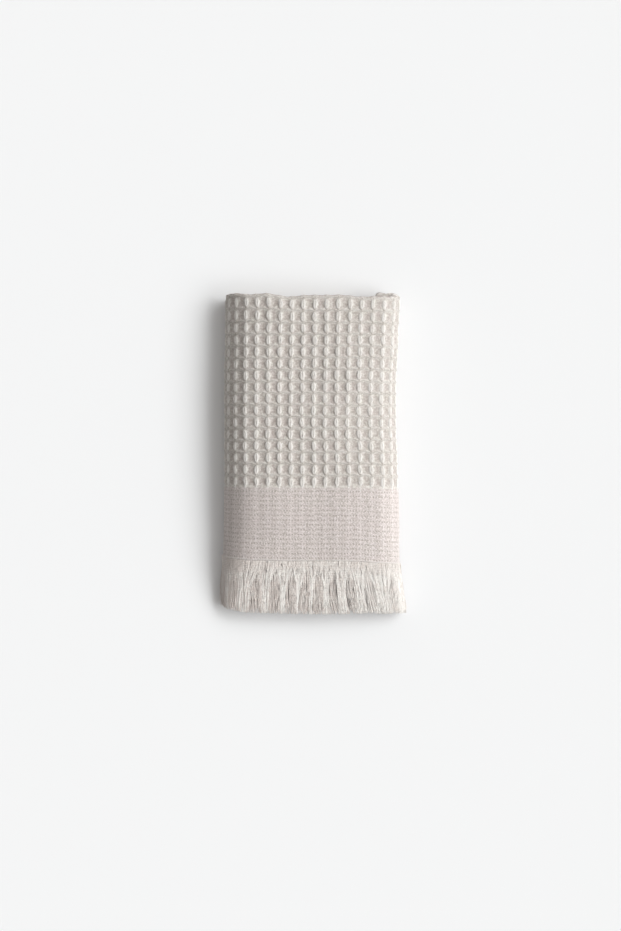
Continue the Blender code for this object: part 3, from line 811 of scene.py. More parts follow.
WALL_TAPER = 3.8 * MM       # length over which the walls taper away into the band
CELL_LUCK = 0.3             # greatest share by which a cell is larger or smaller
CELL_SLANT = 1.15           # over 1, each cell is deepest past its middle
CROSSING_DIP = 0.65 * MM    # how far the walls sink where the ridges cross them
WALL_NARROW = 3.2           # how narrow the walls are where the ridges cross them
WALL_BROADER = 1.4          # and how much less so halfway between
RIDGE_BENDS = 0.05          # share of a cell by which a ridge bends towards its middle
RIDGE_FILLS = 0.74          # share of a cell's depth that its ridges fill
FLUFF, FLUFF_SIZE = 0.12 * MM, 1.7 * MM         # height and width of the small bumps
PRESSED_SHARE = 0.55        # share of the relief that is left where the towel lies on it
UNDERSIDE_SINK = 0.2 * MM   # how far in it lies there, so that nothing is below the floor


def cell_luck(column, row):
    """How much larger or smaller a wall is than the others, by its place in the weave."""
    return 1 + CELL_LUCK * wander(column + 0.5, row + 0.5, 1.0, 5)


def bent(v):
    """0 on the panel, 1 round the cross fold."""
    return ease(v, BENT_FROM, BENT_TO)


def fold_fade(v, free=1.0):
    """1 on the panel, less where the waffle is stretched flat round the cross fold."""
    return 1 - FOLD_FLATTENS * bent(v) * free


def wall_end(y):
    """0 on the waffle, 1 where its walls have tapered away into the band; y is in cells."""
    return np.clip(-y * CELL_Y / WALL_TAPER, 0, 1)


def waffle_relief(u, v, cloth):
    """Rise over the cloth's face, and marks: wall, pinch, depth in a cell, band.  The pinch and
    depth marks say where shade is painted into the colour.
    """
    su, sv = wobbled(u, v)
    x, y = (su - WALL_U) / CELL_U, (sv - BAND_V) / CELL_Y
    a, b = x - np.round(x), y - np.round(y)
    mid = np.sin(math.pi * b) ** 2
    ended = wall_end(y)
    luck = cell_luck(np.round(x - 0.5), np.floor(y))
    scallop = b + RIDGE_BENDS * np.cos(math.tau * a)
    across = np.abs(2 * (x - np.floor(x)) ** CELL_SLANT - 1)
    along = np.abs(2 * np.abs(scallop) - 1)
    wall = across ** (WALL_NARROW - WALL_BROADER * np.minimum(mid * luck, 1.0)) * (1 - ended)
    ridge = np.minimum(along, 1) ** 4 * (y > -0.2)
    pit = (1 - wall) * (1 - RIDGE_FILLS * ridge) * ease(y, -0.1, 0.12)
    wall_top = cloth.wall_height * mid - CROSSING_DIP * (1 - mid) ** 2 * (1 - ended)
    rise = wall_top * wall - cloth.pit_depth * luck * pit
    rise = rise + FLUFF * wander(u, v, FLUFF_SIZE, 13) * (y > 0)
    # Painted shade in the notch where a ridge crosses a wall
    pinch = across ** 6 * (1 - mid) ** 3 * (y > 0.3)
    marks = np.stack([wall, pinch, pit ** 3, 0 * wall], axis=-1)
    return rise, marks


RIB_BENDS, RIB_BEND_LENGTH = 0.35 * MM, 22 * MM
RIB_LUCK, RIB_LUCK_LENGTH = 0.3, 7 * MM
RIBS_START, RIBS_FULL = 5.0 * MM, 8.5 * MM      # from the hem
CORD_RISE = 0.35 * MM
# Painted shade: in the grooves between the ribs, and along the band's end at the waffle, where
# its slope faces the light
RIB_SHADED = 0.12           # depth of the colour between the ribs
LAST_SHADED = 0.4           # and along the band's end at the waffle
LAST_FROM, LAST_TO = BAND_V - 2.4 * MM, BAND_V - 0.4 * MM
MERGE_FROM, MERGE_TO = BAND_V + 0.3 * MM, BAND_V - 0.8 * MM     # waffle into band


def band_relief(u, v, cloth):
    """Ribs of the flat band, with the yarns' small unevenness and the cord at the hem."""
    bend = RIB_BENDS * wander(u, v, RIB_BEND_LENGTH, 9)
    phase = (v + HEM_Y - RIB_LOW_Y + bend) / RIB_PITCH
    uneven = 1 + RIB_LUCK * wander(u, v, RIB_LUCK_LENGTH, 10)
    ribs = cloth.rib_height * np.cos(math.tau * phase) * uneven * ease(v, RIBS_START, RIBS_FULL)
    cord = np.clip(1 - ((v - HEM_CORD / 2) / (HEM_CORD / 2)) ** 2, 0, 1)
    rise = ribs + CORD_RISE * cord
    marks = np.zeros((*np.shape(rise), 4))
    # The depth mark carries the painted shade in the grooves and along the band's end
    marks[..., 2] = (RIB_SHADED * np.clip(-ribs / cloth.rib_height, 0, 1)
                     + LAST_SHADED * ease(v, LAST_FROM, LAST_TO))
    marks[..., 3] = 1.0
    return rise, marks


def outer_relief(u, v, place, cloth):
    """Everything raised or sunk in the face that shows."""
    free = press(place)
    rise, marks = waffle_relief(u, v, cloth)
    rise = rise * fold_fade(v, free)
    band_rise, band_marks = band_relief(u, v, cloth)
    in_band = ease(v, MERGE_FROM, MERGE_TO)
    wall_left = marks[..., 0] * in_band
    rise = rise * (1 - in_band) + np.maximum(band_rise, rise * (wall_left > 0)) * in_band
    marks = marks * (1 - in_band)[..., None] + band_marks * in_band[..., None]
    marks[..., 0] = np.maximum(marks[..., 0], wall_left)
    kept = PRESSED_SHARE + (1 - PRESSED_SHARE) * np.maximum(free, bent(v))
    rise = rise * kept - (1 - free) * UNDERSIDE_SINK
    return rise + waves(u, v, place, cloth), marks


LONG_WAVE, SHORT_WAVE = 34 * MM, 17 * MM
FOLD_WAVE = 0.7 * MM
FOLD_WAVE_FROM, FOLD_WAVE_TO = V_CREASE - 6 * MM, V_CREASE + 5 * MM


def waves(u, v, place, cloth):
    """How the cloth rises and sinks between its folds."""
    wave = wander(u, v, LONG_WAVE, 11) + 0.5 * wander(u, v, SHORT_WAVE, 12)
    return cloth.unevenness * wave * press(place)


def fold_wave(u, v):
    """How far the cross fold's edge lies beyond a straight line."""
    return FOLD_WAVE * wander(u, 0 * u, SHORT_WAVE, 14) * ease(v, FOLD_WAVE_FROM, FOLD_WAVE_TO)


def surface(u, v, rise):
    """Points at a rise over the cloth's outer face, from its hem to past the cross fold."""
    u, v, rise = np.broadcast_arrays(u, v, rise)
    y_bend, w_bend = around(CROSS_BEND, (v - V_CREASE) / GIRTH, rise)
    flat = v < V_CREASE
    return spot(place_at(u), np.where(flat, HEM_Y + v, y_bend) + fold_wave(u, v),
                np.where(flat, STACK + rise, w_bend))


BAKE_EDGE = 0.01
BAKE_VISIBLE = 0.62         # share of the bake map for the face that shows
BAKE_OUTER_END, BAKE_INNER_START = 0.79, 0.81


def bake_places(u, v, outer):
    """Where flat places lie on the bake map, whose largest part is the cloth that shows."""
    x = BAKE_EDGE + (1 - 2 * BAKE_EDGE) * u / WHOLE
    if outer:
        y = np.interp(v, [0, V_INNERMOST, V_END], [BAKE_EDGE, BAKE_VISIBLE, BAKE_OUTER_END])
    else:
        y = np.interp(v, [0, V_END], [BAKE_INNER_START, 1 - BAKE_EDGE])
    return np.stack(np.broadcast_arrays(x, y), axis=-1)


# A row of the cloth: v is its length from the outer hem, y and w its place in the layers,
# bend and part where it lies on a bend
Row = namedtuple("Row", "v y w bend part lengths")


def strip(start_v, start, end, w, lines):
    """Rows of a hidden layer from start to end, at the given shares of the way."""
    return [Row(start_v + share * abs(end - start), start + share * (end - start), w,
                None, 0.0, HIDDEN_U) for share in lines]


def turn(start_v, girth, bend, steps):
    """Rows round a hidden bend."""
    return [Row(start_v + girth * k / steps, *around(bend, k / steps), None, 0.0, HIDDEN_U)
            for k in range(steps + 1)]


FEW = (0.25, 0.5, 0.75)     # rows of a hidden layer, as shares of its length
AT_HEM = (0.0, 0.003, 0.012)            # closer rows where the cloth thins
AT_BACK_HEM = (0.96, 0.995, 1.0)


def showing_rows():
    """The rows that show: the hem, the band, the waffle and the cross fold."""
    edge = [0.0, EDGE_ROUND * 0.25, EDGE_ROUND * 0.6]
    band = list(np.arange(EDGE_ROUND, BAND_V - 1.2 * MM, RIB_PITCH / RIB_STEPS))
    rows = [Row(v, HEM_Y + v, STACK, None, 0.0, BAND_U) for v in edge + band]
    step = CELL_Y / FINE
    first = math.ceil((band[-1] + 0.6 * step - BAND_V) / step)
    last = math.floor((V_CREASE - BAND_V) / step)
    rows += [Row(BAND_V + k * step, HEM_Y + BAND_V + k * step, STACK, None, 0.0, WAFFLE_U)
             for k in range(first, last + 1)]
    for k in range(last + 1, math.floor((V_INNERMOST - BAND_V) / step) + 1):
        v = BAND_V + k * step
        rows.append(Row(v, 0.0, 0.0, CROSS_BEND, (v - V_CREASE) / GIRTH, WAFFLE_U))
    return rows


def hidden_outer_rows():
    return (strip(V_INNERMOST, CREASE_Y, MID_CREASE_Y, 0.0, (0.0, *FEW))
            + turn(V_MIDDLE, MID_GIRTH, MID_BEND, BEND_STEPS)
            + strip(V_INSIDE, MID_CREASE_Y, CREASE_Y, INSIDE_W + CLOTH, FEW)
            + turn(V_INNER_CROSS, MID_GIRTH, INNER_BEND_IN, 2)
            + strip(V_BACK, CREASE_Y, BACK_HEM_Y, BACK_W, (*FEW, *AT_BACK_HEM)))


def inner_rows():
    return (strip(0.0, HEM_Y, CREASE_Y, OUTER_W, (*AT_HEM, *FEW))
            + turn(V_CREASE, GIRTH, CROSS_BEND_IN, BEND_STEPS)
            + strip(V_INNERMOST, CREASE_Y, MID_CREASE_Y, CLOTH, FEW)
            + turn(V_MIDDLE, MID_GIRTH, MID_BEND_IN, 2)
            + strip(V_INSIDE, MID_CREASE_Y, CREASE_Y, INSIDE_W, FEW)
            + turn(V_INNER_CROSS, MID_GIRTH, INNER_BEND, BEND_STEPS)
            + strip(V_BACK, CREASE_Y, BACK_HEM_Y, BACK_W + CLOTH, (*FEW, *AT_BACK_HEM)))


def side_sign(row, outer):
    """1 where a row's free side is towards +w, -1 where it is towards -w."""
    up = outer if row.v < V_CREASE + GIRTH / 2 else not outer
    if V_MIDDLE + MID_GIRTH / 2 < row.v < V_INNER_CROSS + MID_GIRTH / 2:
        up = not up
    return 1 if up else -1


def lay_rows(fabric, rows, cloth, outer):
    """Adds the rows of one side of the cloth and sews them together."""
    chains = []
    for row in rows:
        u = row.lengths
        place = place_at(u)
        thin = edge_thinning(u, row.v) * CLOTH * side_sign(row, outer)
        marks = None
        if row.lengths is HIDDEN_U:
            points = spot(place, row.y, row.w - thin)
        else:
            rise, marks = outer_relief(u, np.full_like(u, row.v), place, cloth)
            if row.bend:
                y, w = around(row.bend, row.part, rise - thin)
            else:
                y, w = row.y, row.w + rise - thin
            points = spot(place, y + fold_wave(u, row.v) * (row.v < V_INNERMOST), w)
        flat = np.stack([u, np.full_like(u, row.v)], axis=-1)
        chains.append(fabric.chain(points, place, flat, bake_places(u, row.v, outer), marks))
    for one, two in zip(chains, chains[1:]):
        fabric.sew(one, two)
    return chains


def fold_cloth(cloth):
    fabric = Fabric("towel_cloth")
    outer_rows = showing_rows() + hidden_outer_rows()
    outer = lay_rows(fabric, outer_rows, cloth, True)
    back_rows = inner_rows()
    inner = lay_rows(fabric, back_rows, cloth, False)
    bake_step = CLOTH * BAKE_VISIBLE / V_INNERMOST
    fabric.sew(outer[0], inner[0], ((0, -CLOTH), (0, -bake_step)))
    fabric.sew(outer[-1], inner[-1], ((0, CLOTH), (0, bake_step)))
    side_step = CLOTH * (1 - 2 * BAKE_EDGE) / WHOLE
    for end, sign in ((0, -1), (-1, 1)):
        fabric.sew(([row.v for row in outer_rows], [chain[1][end] for chain in outer]),
                   ([row.v for row in back_rows], [chain[1][end] for chain in inner]),
                   ((sign * CLOTH, 0), (sign * side_step, 0)))
    return fabric.finish(cloth_material(cloth))


# ---- strands by Geometry Nodes ----------------------------------------------------------------

class Growth(NodeTree):
    """A Geometry Nodes tree that turns guide lines into strands."""

    def __init__(self, name, numbers):
        super().__init__(bpy.data.node_groups.new(name, "GeometryNodeTree"))
        face = self.tree.interface
        face.new_socket("Geometry", in_out="INPUT", socket_type="NodeSocketGeometry")
        face.new_socket("Geometry", in_out="OUTPUT", socket_type="NodeSocketGeometry")
        for label in ("Strands", "Seed"):
            face.new_socket(label, in_out="INPUT", socket_type="NodeSocketInt")
        for label in ("Radius", *numbers):
            face.new_socket(label, in_out="INPUT", socket_type="NodeSocketFloat")
        self.start = self.tree.nodes.new("NodeGroupInput")
        lines = self.node("GeometryNodeMeshToCurve", {"Mesh": self.input("Geometry")})
        self.strands = self.node("GeometryNodeDuplicateElements",
                                 {"Geometry": lines, "Amount": self.input("Strands")},
                                 domain="SPLINE")
        self.number = self.strands.output("Duplicate Index")
        self.side = self.attribute("side", "FLOAT_VECTOR")
        self.out = self.attribute("out", "FLOAT_VECTOR")
        self.gone = self.attribute("gone")

    def input(self, label):
        return Value(self, self.start.outputs[label])

    def attribute(self, name, kind="FLOAT"):
        return self.node("GeometryNodeInputNamedAttribute", {0: name}, data_type=kind)

    def store(self, geometry, name, value, domain="POINT"):
        return self.node("GeometryNodeStoreNamedAttribute",
                         {"Geometry": geometry, "Name": name, "Value": value},
                         data_type="FLOAT", domain=domain)

    def luck(self, number):
        """A random number from 0 to 1 for each strand."""
        value = self.node("FunctionNodeRandomValue", {"Seed": self.input("Seed") + number}, 1,
                          data_type="FLOAT")
        return self.node("GeometryNodeFieldOnDomain", {0: value},
                         data_type="FLOAT", domain="CURVE")

    def swing(self, angle, size):
        return angle.math("SINE") * size

    def move(self, across, rise):
        """Moves the strands across their guides and out from them."""
        steps = [self.node("ShaderNodeVectorMath", {0: way, "Scale": step}, operation="SCALE")
                 for way, step in ((self.side, across), (self.out, rise))]
        both = self.node("ShaderNodeVectorMath", dict(enumerate(steps)), operation="ADD")
        self.change("GeometryNodeSetPosition", {"Offset": both})

    def change(self, kind, sockets, **settings):
        """Passes the strands through a node whose first socket takes them."""
        self.strands = self.node(kind, {0: self.strands, **sockets}, **settings)

    def finish(self, material, thickness, sides=4):
        """Makes the strands round and solid; thickness is a share of their radius."""
        self.strands = self.store(self.strands, "strand_luck", self.luck(90), "CURVE")
        self.strands = self.store(self.strands, "strand_along", self.way_along("Length"))
        self.change("GeometryNodeSetCurveRadius", {"Radius": thickness})
        ring = self.node("GeometryNodeCurvePrimitiveCircle",
                         {"Resolution": sides, "Radius": self.input("Radius")}, mode="RADIUS")
        ring = self.store(ring, "strand_turn", self.way_along("Factor"))
        self.change("GeometryNodeCurveToMesh", {"Profile Curve": ring, "Fill Caps": True})
        self.change("GeometryNodeSetShadeSmooth", {})
        self.change("GeometryNodeRealizeInstances", {})
        self.change("GeometryNodeSetMaterial", {"Material": material})
        self.tree.links.new(self.strands.socket, self.tree.nodes.new("NodeGroupOutput").inputs[0])
        return self.tree

    def way_along(self, kind):
        return self.node("GeometryNodeSplineParameter", output=kind)


def twist_tree(name, material):
    """Plies that wind round each guide."""
    growth = Growth(name, ("Twist",))
    angle = (growth.way_along("Length") / growth.input("Twist")
             + growth.number / growth.input("Strands")) * math.tau
    size = growth.input("Radius")
    growth.move(growth.swing(angle, size), growth.swing(angle + math.pi / 2, size))
    return growth.finish(material, 1.0)


YARN_STRAYS, YARN_LIFTS = 0.12 * MM, 0.07 * MM      # aside of an even course, and up from it
YARNS_ROUND = 0.3           # how far the outer yarns lie below the middle ones, a share of half


def float_tree(material):
    """Yarns side by side that float over the waffle's walls and ridges."""
    growth = Growth("floating yarns", ("Slit",))
    place = growth.number / (growth.input("Strands") - 1) * 2 - 1
    size = place.math("ABSOLUTE")
    slit = growth.input("Slit")
    spread = (size * (1 - slit) + slit) * place.math("SIGN") * growth.attribute("half")
    bend = growth.gone * (growth.luck(1) * 90 + 160) + growth.luck(2) * math.tau
    growth.move(spread + growth.swing(bend, YARN_STRAYS),
                size * growth.attribute("half") * -YARNS_ROUND
                + growth.swing(bend * 1.3, YARN_LIFTS))
    return growth.finish(material, growth.luck(3) * 0.3 + 0.85)


GATHERED_AT = 0.36          # share of a thread's length by which its lock has gathered


def fringe_tree(material):
    """Threads that leave the hem crosswise and gather in locks."""
    growth = Growth("fringe threads", ("Crossing", "Spread", "Depth", "Wave", "Uneven ends"))
    gone = growth.gone
    root, lock, lock_too, deep, phase, speed, short = [growth.luck(n) for n in range(7)]
    gathered = growth.ease(gone, 0.0, GATHERED_AT)
    place = ((root * 2 - 1) * growth.input("Crossing") * (1 - gathered)
             + (lock + lock_too - 1) * growth.input("Spread") * growth.attribute("loose")
             * gathered)
    angle = gone * (speed * 6.0 + 3.0) + phase * math.tau
    wave = growth.input("Wave") * gone ** 0.7
    rise = (deep - 0.5) * growth.input("Depth")
    growth.move(place + growth.swing(angle, wave),
                rise + growth.swing(angle * 0.8 + 2, wave * 0.4))
    x, y, z = growth.parts(growth.node("GeometryNodeInputPosition"))
    on_floor = growth.node("ShaderNodeCombineXYZ",
                           {"X": x, "Y": y, "Z": z.most(growth.input("Radius"))})
    growth.change("GeometryNodeSetPosition", {"Position": on_floor})
    growth.change("GeometryNodeTrimCurve",
                  {"End": 1 - short * short * growth.input("Uneven ends")}, mode="FACTOR")
    return growth.finish(material, 1 - gone ** 8.0 * 0.5, sides=3)


def grown(name, lines, extras, tree, values):
    """A plain mesh object that a tree makes from guide lines of points, with the numbers or
    vectors at each of them in extras."""
    data = bpy.data.meshes.new(name + "_guides")
    count = lines.shape[1]
    edges = [(line * count + k, line * count + k + 1)
             for line in range(len(lines)) for k in range(count - 1)]
    data.from_pydata(lines.reshape(-1, 3).tolist(), edges, [])
    gone = np.broadcast_to(np.linspace(0, 1, count), lines.shape[:2])
    for label, numbers in {**extras, "gone": gone}.items():
        kind, key = ("FLOAT_VECTOR", "vector") if numbers.ndim == 3 else ("FLOAT", "value")
        data.attributes.new(label, kind, "POINT").data.foreach_set(
            key, numbers.astype(np.float32).ravel())
    maker = placed(data.name, data)
    change = maker.modifiers.new("Strands", "NODES")
    change.node_group = tree
    sockets = {item.name: item.identifier for item in tree.interface.items_tree
               if item.in_out == "INPUT"}
    for label, value in values.items():
        change[sockets[label]] = value
    mesh = bpy.data.meshes.new_from_object(
        maker.evaluated_get(bpy.context.evaluated_depsgraph_get()))
    bpy.data.objects.remove(maker, do_unlink=True)
    bpy.data.meshes.remove(data)
    mesh.name = name
    thing = placed(name, mesh)
    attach(thing, "root")
    return thing


def ways(points_at, u, v, rise):
    """Points of a guide, and unit vectors along the first direction and outwards."""
    step = 0.2 * MM
    side = points_at(u + step, v, rise) - points_at(u - step, v, rise)
    out = points_at(u, v, rise + step) - points_at(u, v, rise - step)
    side, out = [way / np.maximum(np.linalg.norm(way, axis=-1, keepdims=True), 1e-9)
                 for way in (side, out)]
    return points_at(u, v, rise), side, out


# ---- floating yarns of the waffle -------------------------------------------------------------

YARN_U_START, YARN_U_END = length_at(HEEL_L + 0.15), length_at(INNER - 0.02)
WALLS_ROUND_FOLD, RIDGES_ROUND_FOLD = 0.6 * GIRTH, 0.8 * GIRTH      # how far the yarns go
PINCH = 0.15 * MM               # half a wall where the ridges cross it
RIDGE_HALF = 0.22 * MM
FLOAT_CREST = 0.1 * MM          # rise of the yarns between crossings and at them
FLOAT_DIP = -0.95 * MM
RIDGE_CREST = -0.56 * MM
RIDGE_DIP = -0.6 * MM
# Shade painted into the floating yarns' colour: on the ridges' yarns all along, and on the walls'
# yarns where the ridges cross them
RIDGE_SHADED = 0.56             # how deep the colour of the ridges' yarns is
PINCH_SHADED = 1.2              # and of the walls' yarns where the ridges cross them
ARCH = 0.55 * MM                # how far a ridge arches over each cell
TAPERED = 0.85                  # share of their width that the walls lose towards the band
TAPER_MID = 0.35                # how far they are up to their crest there
TAPER_SINK = 0.25 * MM
BENT_SINK = 0.5 * MM            # how much lower the walls' yarns lie where the cloth is flattened
BENT_WIDTH = 0.4                # share of their width that is left at least
PRESSED_SINK = 0.45 * MM        # how far the yarns are pressed in under the towel


def on_weave(points_at, even):
    """Where a line of the even weave lies on the cloth; points_at gives its place there."""
    found = even
    for _ in range(3):
        found = even - (points_at(found) - found)
    return found


def settle(u, v, rise, cloth):
    """A rise over the even cloth, on its waves and pressed in under the towel."""
    place = place_at(u)
    return rise + waves(u, v, place, cloth) - PRESSED_SINK * (1 - press(place))


def wall_guides(cloth):
    """A guide down each wall, from the band to round the cross fold."""
    first = math.ceil((YARN_U_START - WALL_U) / CELL_U)
    last = math.floor((YARN_U_END - WALL_U) / CELL_U)
    columns = np.arange(first, last + 1)[:, None]
    v = np.arange(BAND_V - WALL_TAPER, V_CREASE + WALLS_ROUND_FOLD, CELL_Y / 10)[None, :]
    u = on_weave(lambda u: wobbled(u, v)[0], WALL_U + columns * CELL_U + 0 * v)
    y = (wobbled(u, v)[1] - BAND_V) / CELL_Y
    ended = wall_end(y)
    mid = np.where(y < 0, TAPER_MID, np.sin(math.pi * (y - np.round(y))) ** 2)
    size = cell_luck(columns, np.floor(y))
    half = (PINCH + (cloth.wall_half - PINCH) * mid ** 0.6 * size) * (1 - TAPERED * ended)
    rise = FLOAT_DIP + (FLOAT_CREST - FLOAT_DIP) * mid ** 0.45
    fade = fold_fade(v)
    rise = rise * fade * (1 - ended) - TAPER_SINK * ended - BENT_SINK * (1 - fade)
    # Painted shade on the walls' yarns where the ridges cross them
    shaded = PINCH_SHADED * (1 - mid) ** 5 * (y > 0.3)
    half = half * (BENT_WIDTH + (1 - BENT_WIDTH) * fade)
    return u, v + 0 * u, settle(u, v, rise, cloth), half, shaded


def ridge_guides(cloth):
    """A guide along each ridge, arched over the cells."""
    rows = np.arange(1, math.floor((V_CREASE + RIDGES_ROUND_FOLD - BAND_V) / CELL_Y) + 1)[:, None]
    u = np.arange(YARN_U_START, YARN_U_END, CELL_U / 9)[None, :]
    v = on_weave(lambda v: wobbled(u, v)[1], BAND_V + rows * CELL_Y + 0 * u)
    x = (wobbled(u, v)[0] - WALL_U) / CELL_U
    mid = np.sin(math.pi * x) ** 2
    v = v + ARCH * (2 * mid - 1)
    rise = (RIDGE_DIP + (RIDGE_CREST - RIDGE_DIP) * mid ** 0.7) * fold_fade(v)
    # The ridges' yarns carry painted shade all along
    return (u + 0 * v, v, settle(u, v, rise, cloth), np.full_like(rise, RIDGE_HALF),
            np.full_like(rise, RIDGE_SHADED))


def float_yarns(name, guides, strands, slit, tree, cloth):
    u, v, rise, half, shaded = guides
    points, side, out = ways(surface, u, v, rise)
    if name == "ridge_yarns":
        side = np.cross(out, side)
    thing = grown(name, points, {"side": side, "out": out, "half": half, "shaded": shaded},
                  tree, {"Strands": strands, "Radius": cloth.yarn_radius, "Slit": slit,
                         "Seed": len(name)})
    return thing


# ---- fringes ----------------------------------------------------------------------------------

# A fringe: its hem, the height of its threads in the layers, and how much they spread
FringeLine = namedtuple("FringeLine", "name node hem middle_w depth")
OUTER_FRINGE = FringeLine("outer_threads", "fringe_outer", HEM_Y, STACK - 0.45 * MM, 0.5 * MM)
BACK_FRINGE = FringeLine("back_threads", "fringe_back", BACK_HEM_Y, BACK_W + 1.1 * MM, 1.2 * MM)
# Threads that lie evenly below, and threads above them that gather in locks: the share of
# them, how loosely they follow their guides, how much they are drawn together, how far they
# lean, their lift, and how much shade is painted on them, most on the lower threads under the
# locks
Layer = namedtuple("Layer", "threads loose pull lean lift shaded")
LAYERS = [
    Layer(0.61, 2.5, 0.0, 2.0 * MM, -0.05 * MM, 0.62),
    Layer(0.39, 0.8, 0.66, 6.5 * MM, 0.12 * MM, 0.0),
]
ROOT_IN = 0.9 * MM              # how far in from the hem's edge the threads start
GUIDE_POINTS = 11
FRINGE_MARGIN = 1.2 * MM
UNSEEN_SHARE = 0.4              # of the guides, for each length inside or under the towel
LOCK_STRAYS = 0.35              # share of the layer's lean by which a lock strays by itself
TIP_SINK, BEND_SINK = 1.4 * MM, 3.0 * MM        # how far the threads sink, evenly and at the tips
# Shade painted into the threads' colour: deeper between the locks, where the fringe turns down
# away from the light on the left, and along the hem; and less towards the right, as painted light
BETWEEN_SHADED = 0.1            # how much deeper the colour is between locks
LEFT_SHADED = 0.25              # and where the fringe turns down on the left
RIGHT_LIGHTER = 0.5
ROOT_SHADED, ROOT_LEFT_SHADED = 0.5, 0.9        # and along the hem

HEM_YARN_V = 1.4 * MM
HEM_YARN_TWIST = 5.2 * MM
HEM_YARN_STEP = 1.1 * MM
HEM_YARN_RISE = 1.75 * MM       # how much higher the outer hem's yarn lies where it is free
HEM_YARN_PRESSED = -1.45 * MM   # its height over the cloth where the towel lies on it
BACK_YARN_SINK = 0.3 * MM


def lock_turns(u):
    """How many locks lie before u."""
    return u / LOCK_SPACING + 0.35 * np.sin(u / SWAY_LENGTH)


def lean(u, share, layer):
    """How far a strand at u has leant along the hem, with a share of its way gone."""
    inside = ease(u, 0.0, LOCK_SPACING) * ease(u, WHOLE, WHOLE - LOCK_SPACING)
    turns = lock_turns(u)
    lock = layer.pull * LOCK_SPACING * (turns - np.round(turns))
    place = place_at(u)
    in_middle = (ease(place, SHOULDER_L, SHOULDER_L + 0.7)
                 * ease(place, SHOULDER_R + 0.35, FRONT + 0.45))
    own = LOCK_STRAYS * wander(np.round(turns) + 0.5, 0.8 * share + 0.5, 1.0, 21) - in_middle
    return inside * (SWAY * share * np.sin(1.7 * u / SWAY_LENGTH + 2.2 * share)
                     - lock * ease(share, 0.08, 0.6) + layer.lean * share * own)


def guide_lengths(count):
    """Where guides start along the hem: closer together where the fringe shows."""
    u = np.linspace(FRINGE_MARGIN, WHOLE - FRINGE_MARGIN, 400)
    place = place_at(u)
    seen = ease(place, HEEL_L + 0.5, HEEL_L + 1.0) * ease(place, INNER - 0.4, INNER - 0.9)
    total = np.cumsum(UNSEEN_SHARE + (1 - UNSEEN_SHARE) * seen)
    return np.interp((np.arange(count) + 0.5) / count * total[-1], total, u)[:, None]


def fringe_guides(line, count, layer):
    """Guides from the hem to the tips, with the directions along the hem and out of it."""
    u = guide_lengths(count)
    place = place_at(u)
    share = np.linspace(0, 1, GUIDE_POINTS)[None, :]
    reach = REACH + straight(PLACES, "reach", place)
    y = line.hem + ROOT_IN - (reach + ROOT_IN) * share
    middle = np.clip(u + lean(u, share, layer), 0, WHOLE)
    between = 0.5 - 0.5 * np.cos(math.tau * lock_turns(u))
    lift = layer.lift * ease(share, 0.05, 0.4) * (1 - 0.5 * between)
    w = line.middle_w - (TIP_SINK * share + BEND_SINK * share ** 4 - lift) * press(place)
    points, side, out = ways(lambda u, v, rise: spot(place_at(np.clip(u, 0, WHOLE)), v, rise),
                             middle, y + 0 * middle, w + 0 * middle)
    # Painted shade along each thread: by its layer, between the locks, on the left and along the
    # hem, and less on the right
    left = ease(place, FRONT + 0.25, SHOULDER_L + 0.4)
    right = ease(place, FRONT + 0.5, SHOULDER_R)
    along = (layer.shaded * (1 - RIGHT_LIGHTER * right) + BETWEEN_SHADED * between
             + LEFT_SHADED * left)
    at_root = ROOT_SHADED + ROOT_LEFT_SHADED * left
    shaded = along * ease(share, 0.12, 0.4) + at_root * ease(share, 0.32, 0.12)
    return points, {"side": side, "out": out, "shaded": shaded + 0 * middle,
                    "loose": layer.loose + 0 * middle}


def lay_fringe(line, count, tree, fringe):
    layers = [fringe_guides(line, round(count * layer.threads), layer) for layer in LAYERS]
    points = np.concatenate([points for points, _ in layers])
    extras = {name: np.concatenate([extras[name] for _, extras in layers])
              for name in layers[0][1]}
    thing = grown(line.name, points, extras, tree, {
        "Strands": fringe.threads,
        "Radius": fringe.thread_radius,
        "Crossing": fringe.crossing,
        "Spread": fringe.lock_spread,
        "Depth": line.depth,
        "Wave": fringe.wave,
        "Uneven ends": fringe.ends_vary,
        "Seed": fringe.seed,
    })
    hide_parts(line.node)
    return thing


def lay_hem_yarn(name, points_at, fringe, tree):
    """The twisted yarn that lies along a hem; points_at gives its points at u and a rise."""
    u = np.arange(FRINGE_MARGIN, WHOLE - FRINGE_MARGIN, HEM_YARN_STEP)[None, :]
    points, side, out = ways(lambda u, _, rise: points_at(u, rise), u, 0 * u, 0 * u)
    thing = grown(name, points, {"side": np.cross(out, side), "out": out}, tree,
                  {"Strands": 2, "Radius": fringe.hem_yarn_radius, "Twist": HEM_YARN_TWIST,
                   "Seed": 3})
    return thing


def outer_hem_points(u, rise):
    pressed = HEM_YARN_PRESSED + HEM_YARN_RISE * press(place_at(u))
    return surface(u, HEM_YARN_V + 0 * u, rise + pressed)


def back_hem_points(u, rise):
    return spot(place_at(u), BACK_HEM_Y + HEM_YARN_V + 0 * u, BACK_W - BACK_YARN_SINK - rise)


# ---- operators --------------------------------------------------------------------------------

WAFFLE_TWIST, THREAD_TWIST, HEM_TWIST = 2.4 * MM, 1.7 * MM, 1.9 * MM     # in the yarns' looks
WALL_SLIT, RIDGE_SLIT = 0.22, 0.6       # share of half a wall or ridge that its middle is free of


class TOWEL_OT_fold_cloth(bpy.types.Operator):
    """Folds the waffle cloth with its cells, ribs and edges"""
    bl_idname = "towel.fold_cloth"
    bl_label = "Fold cloth"

    def execute(self, context):
        cloth, _, _ = settings()
        thing = fold_cloth(cloth)
        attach(thing, "root")
        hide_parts("towel")
        return {"FINISHED"}


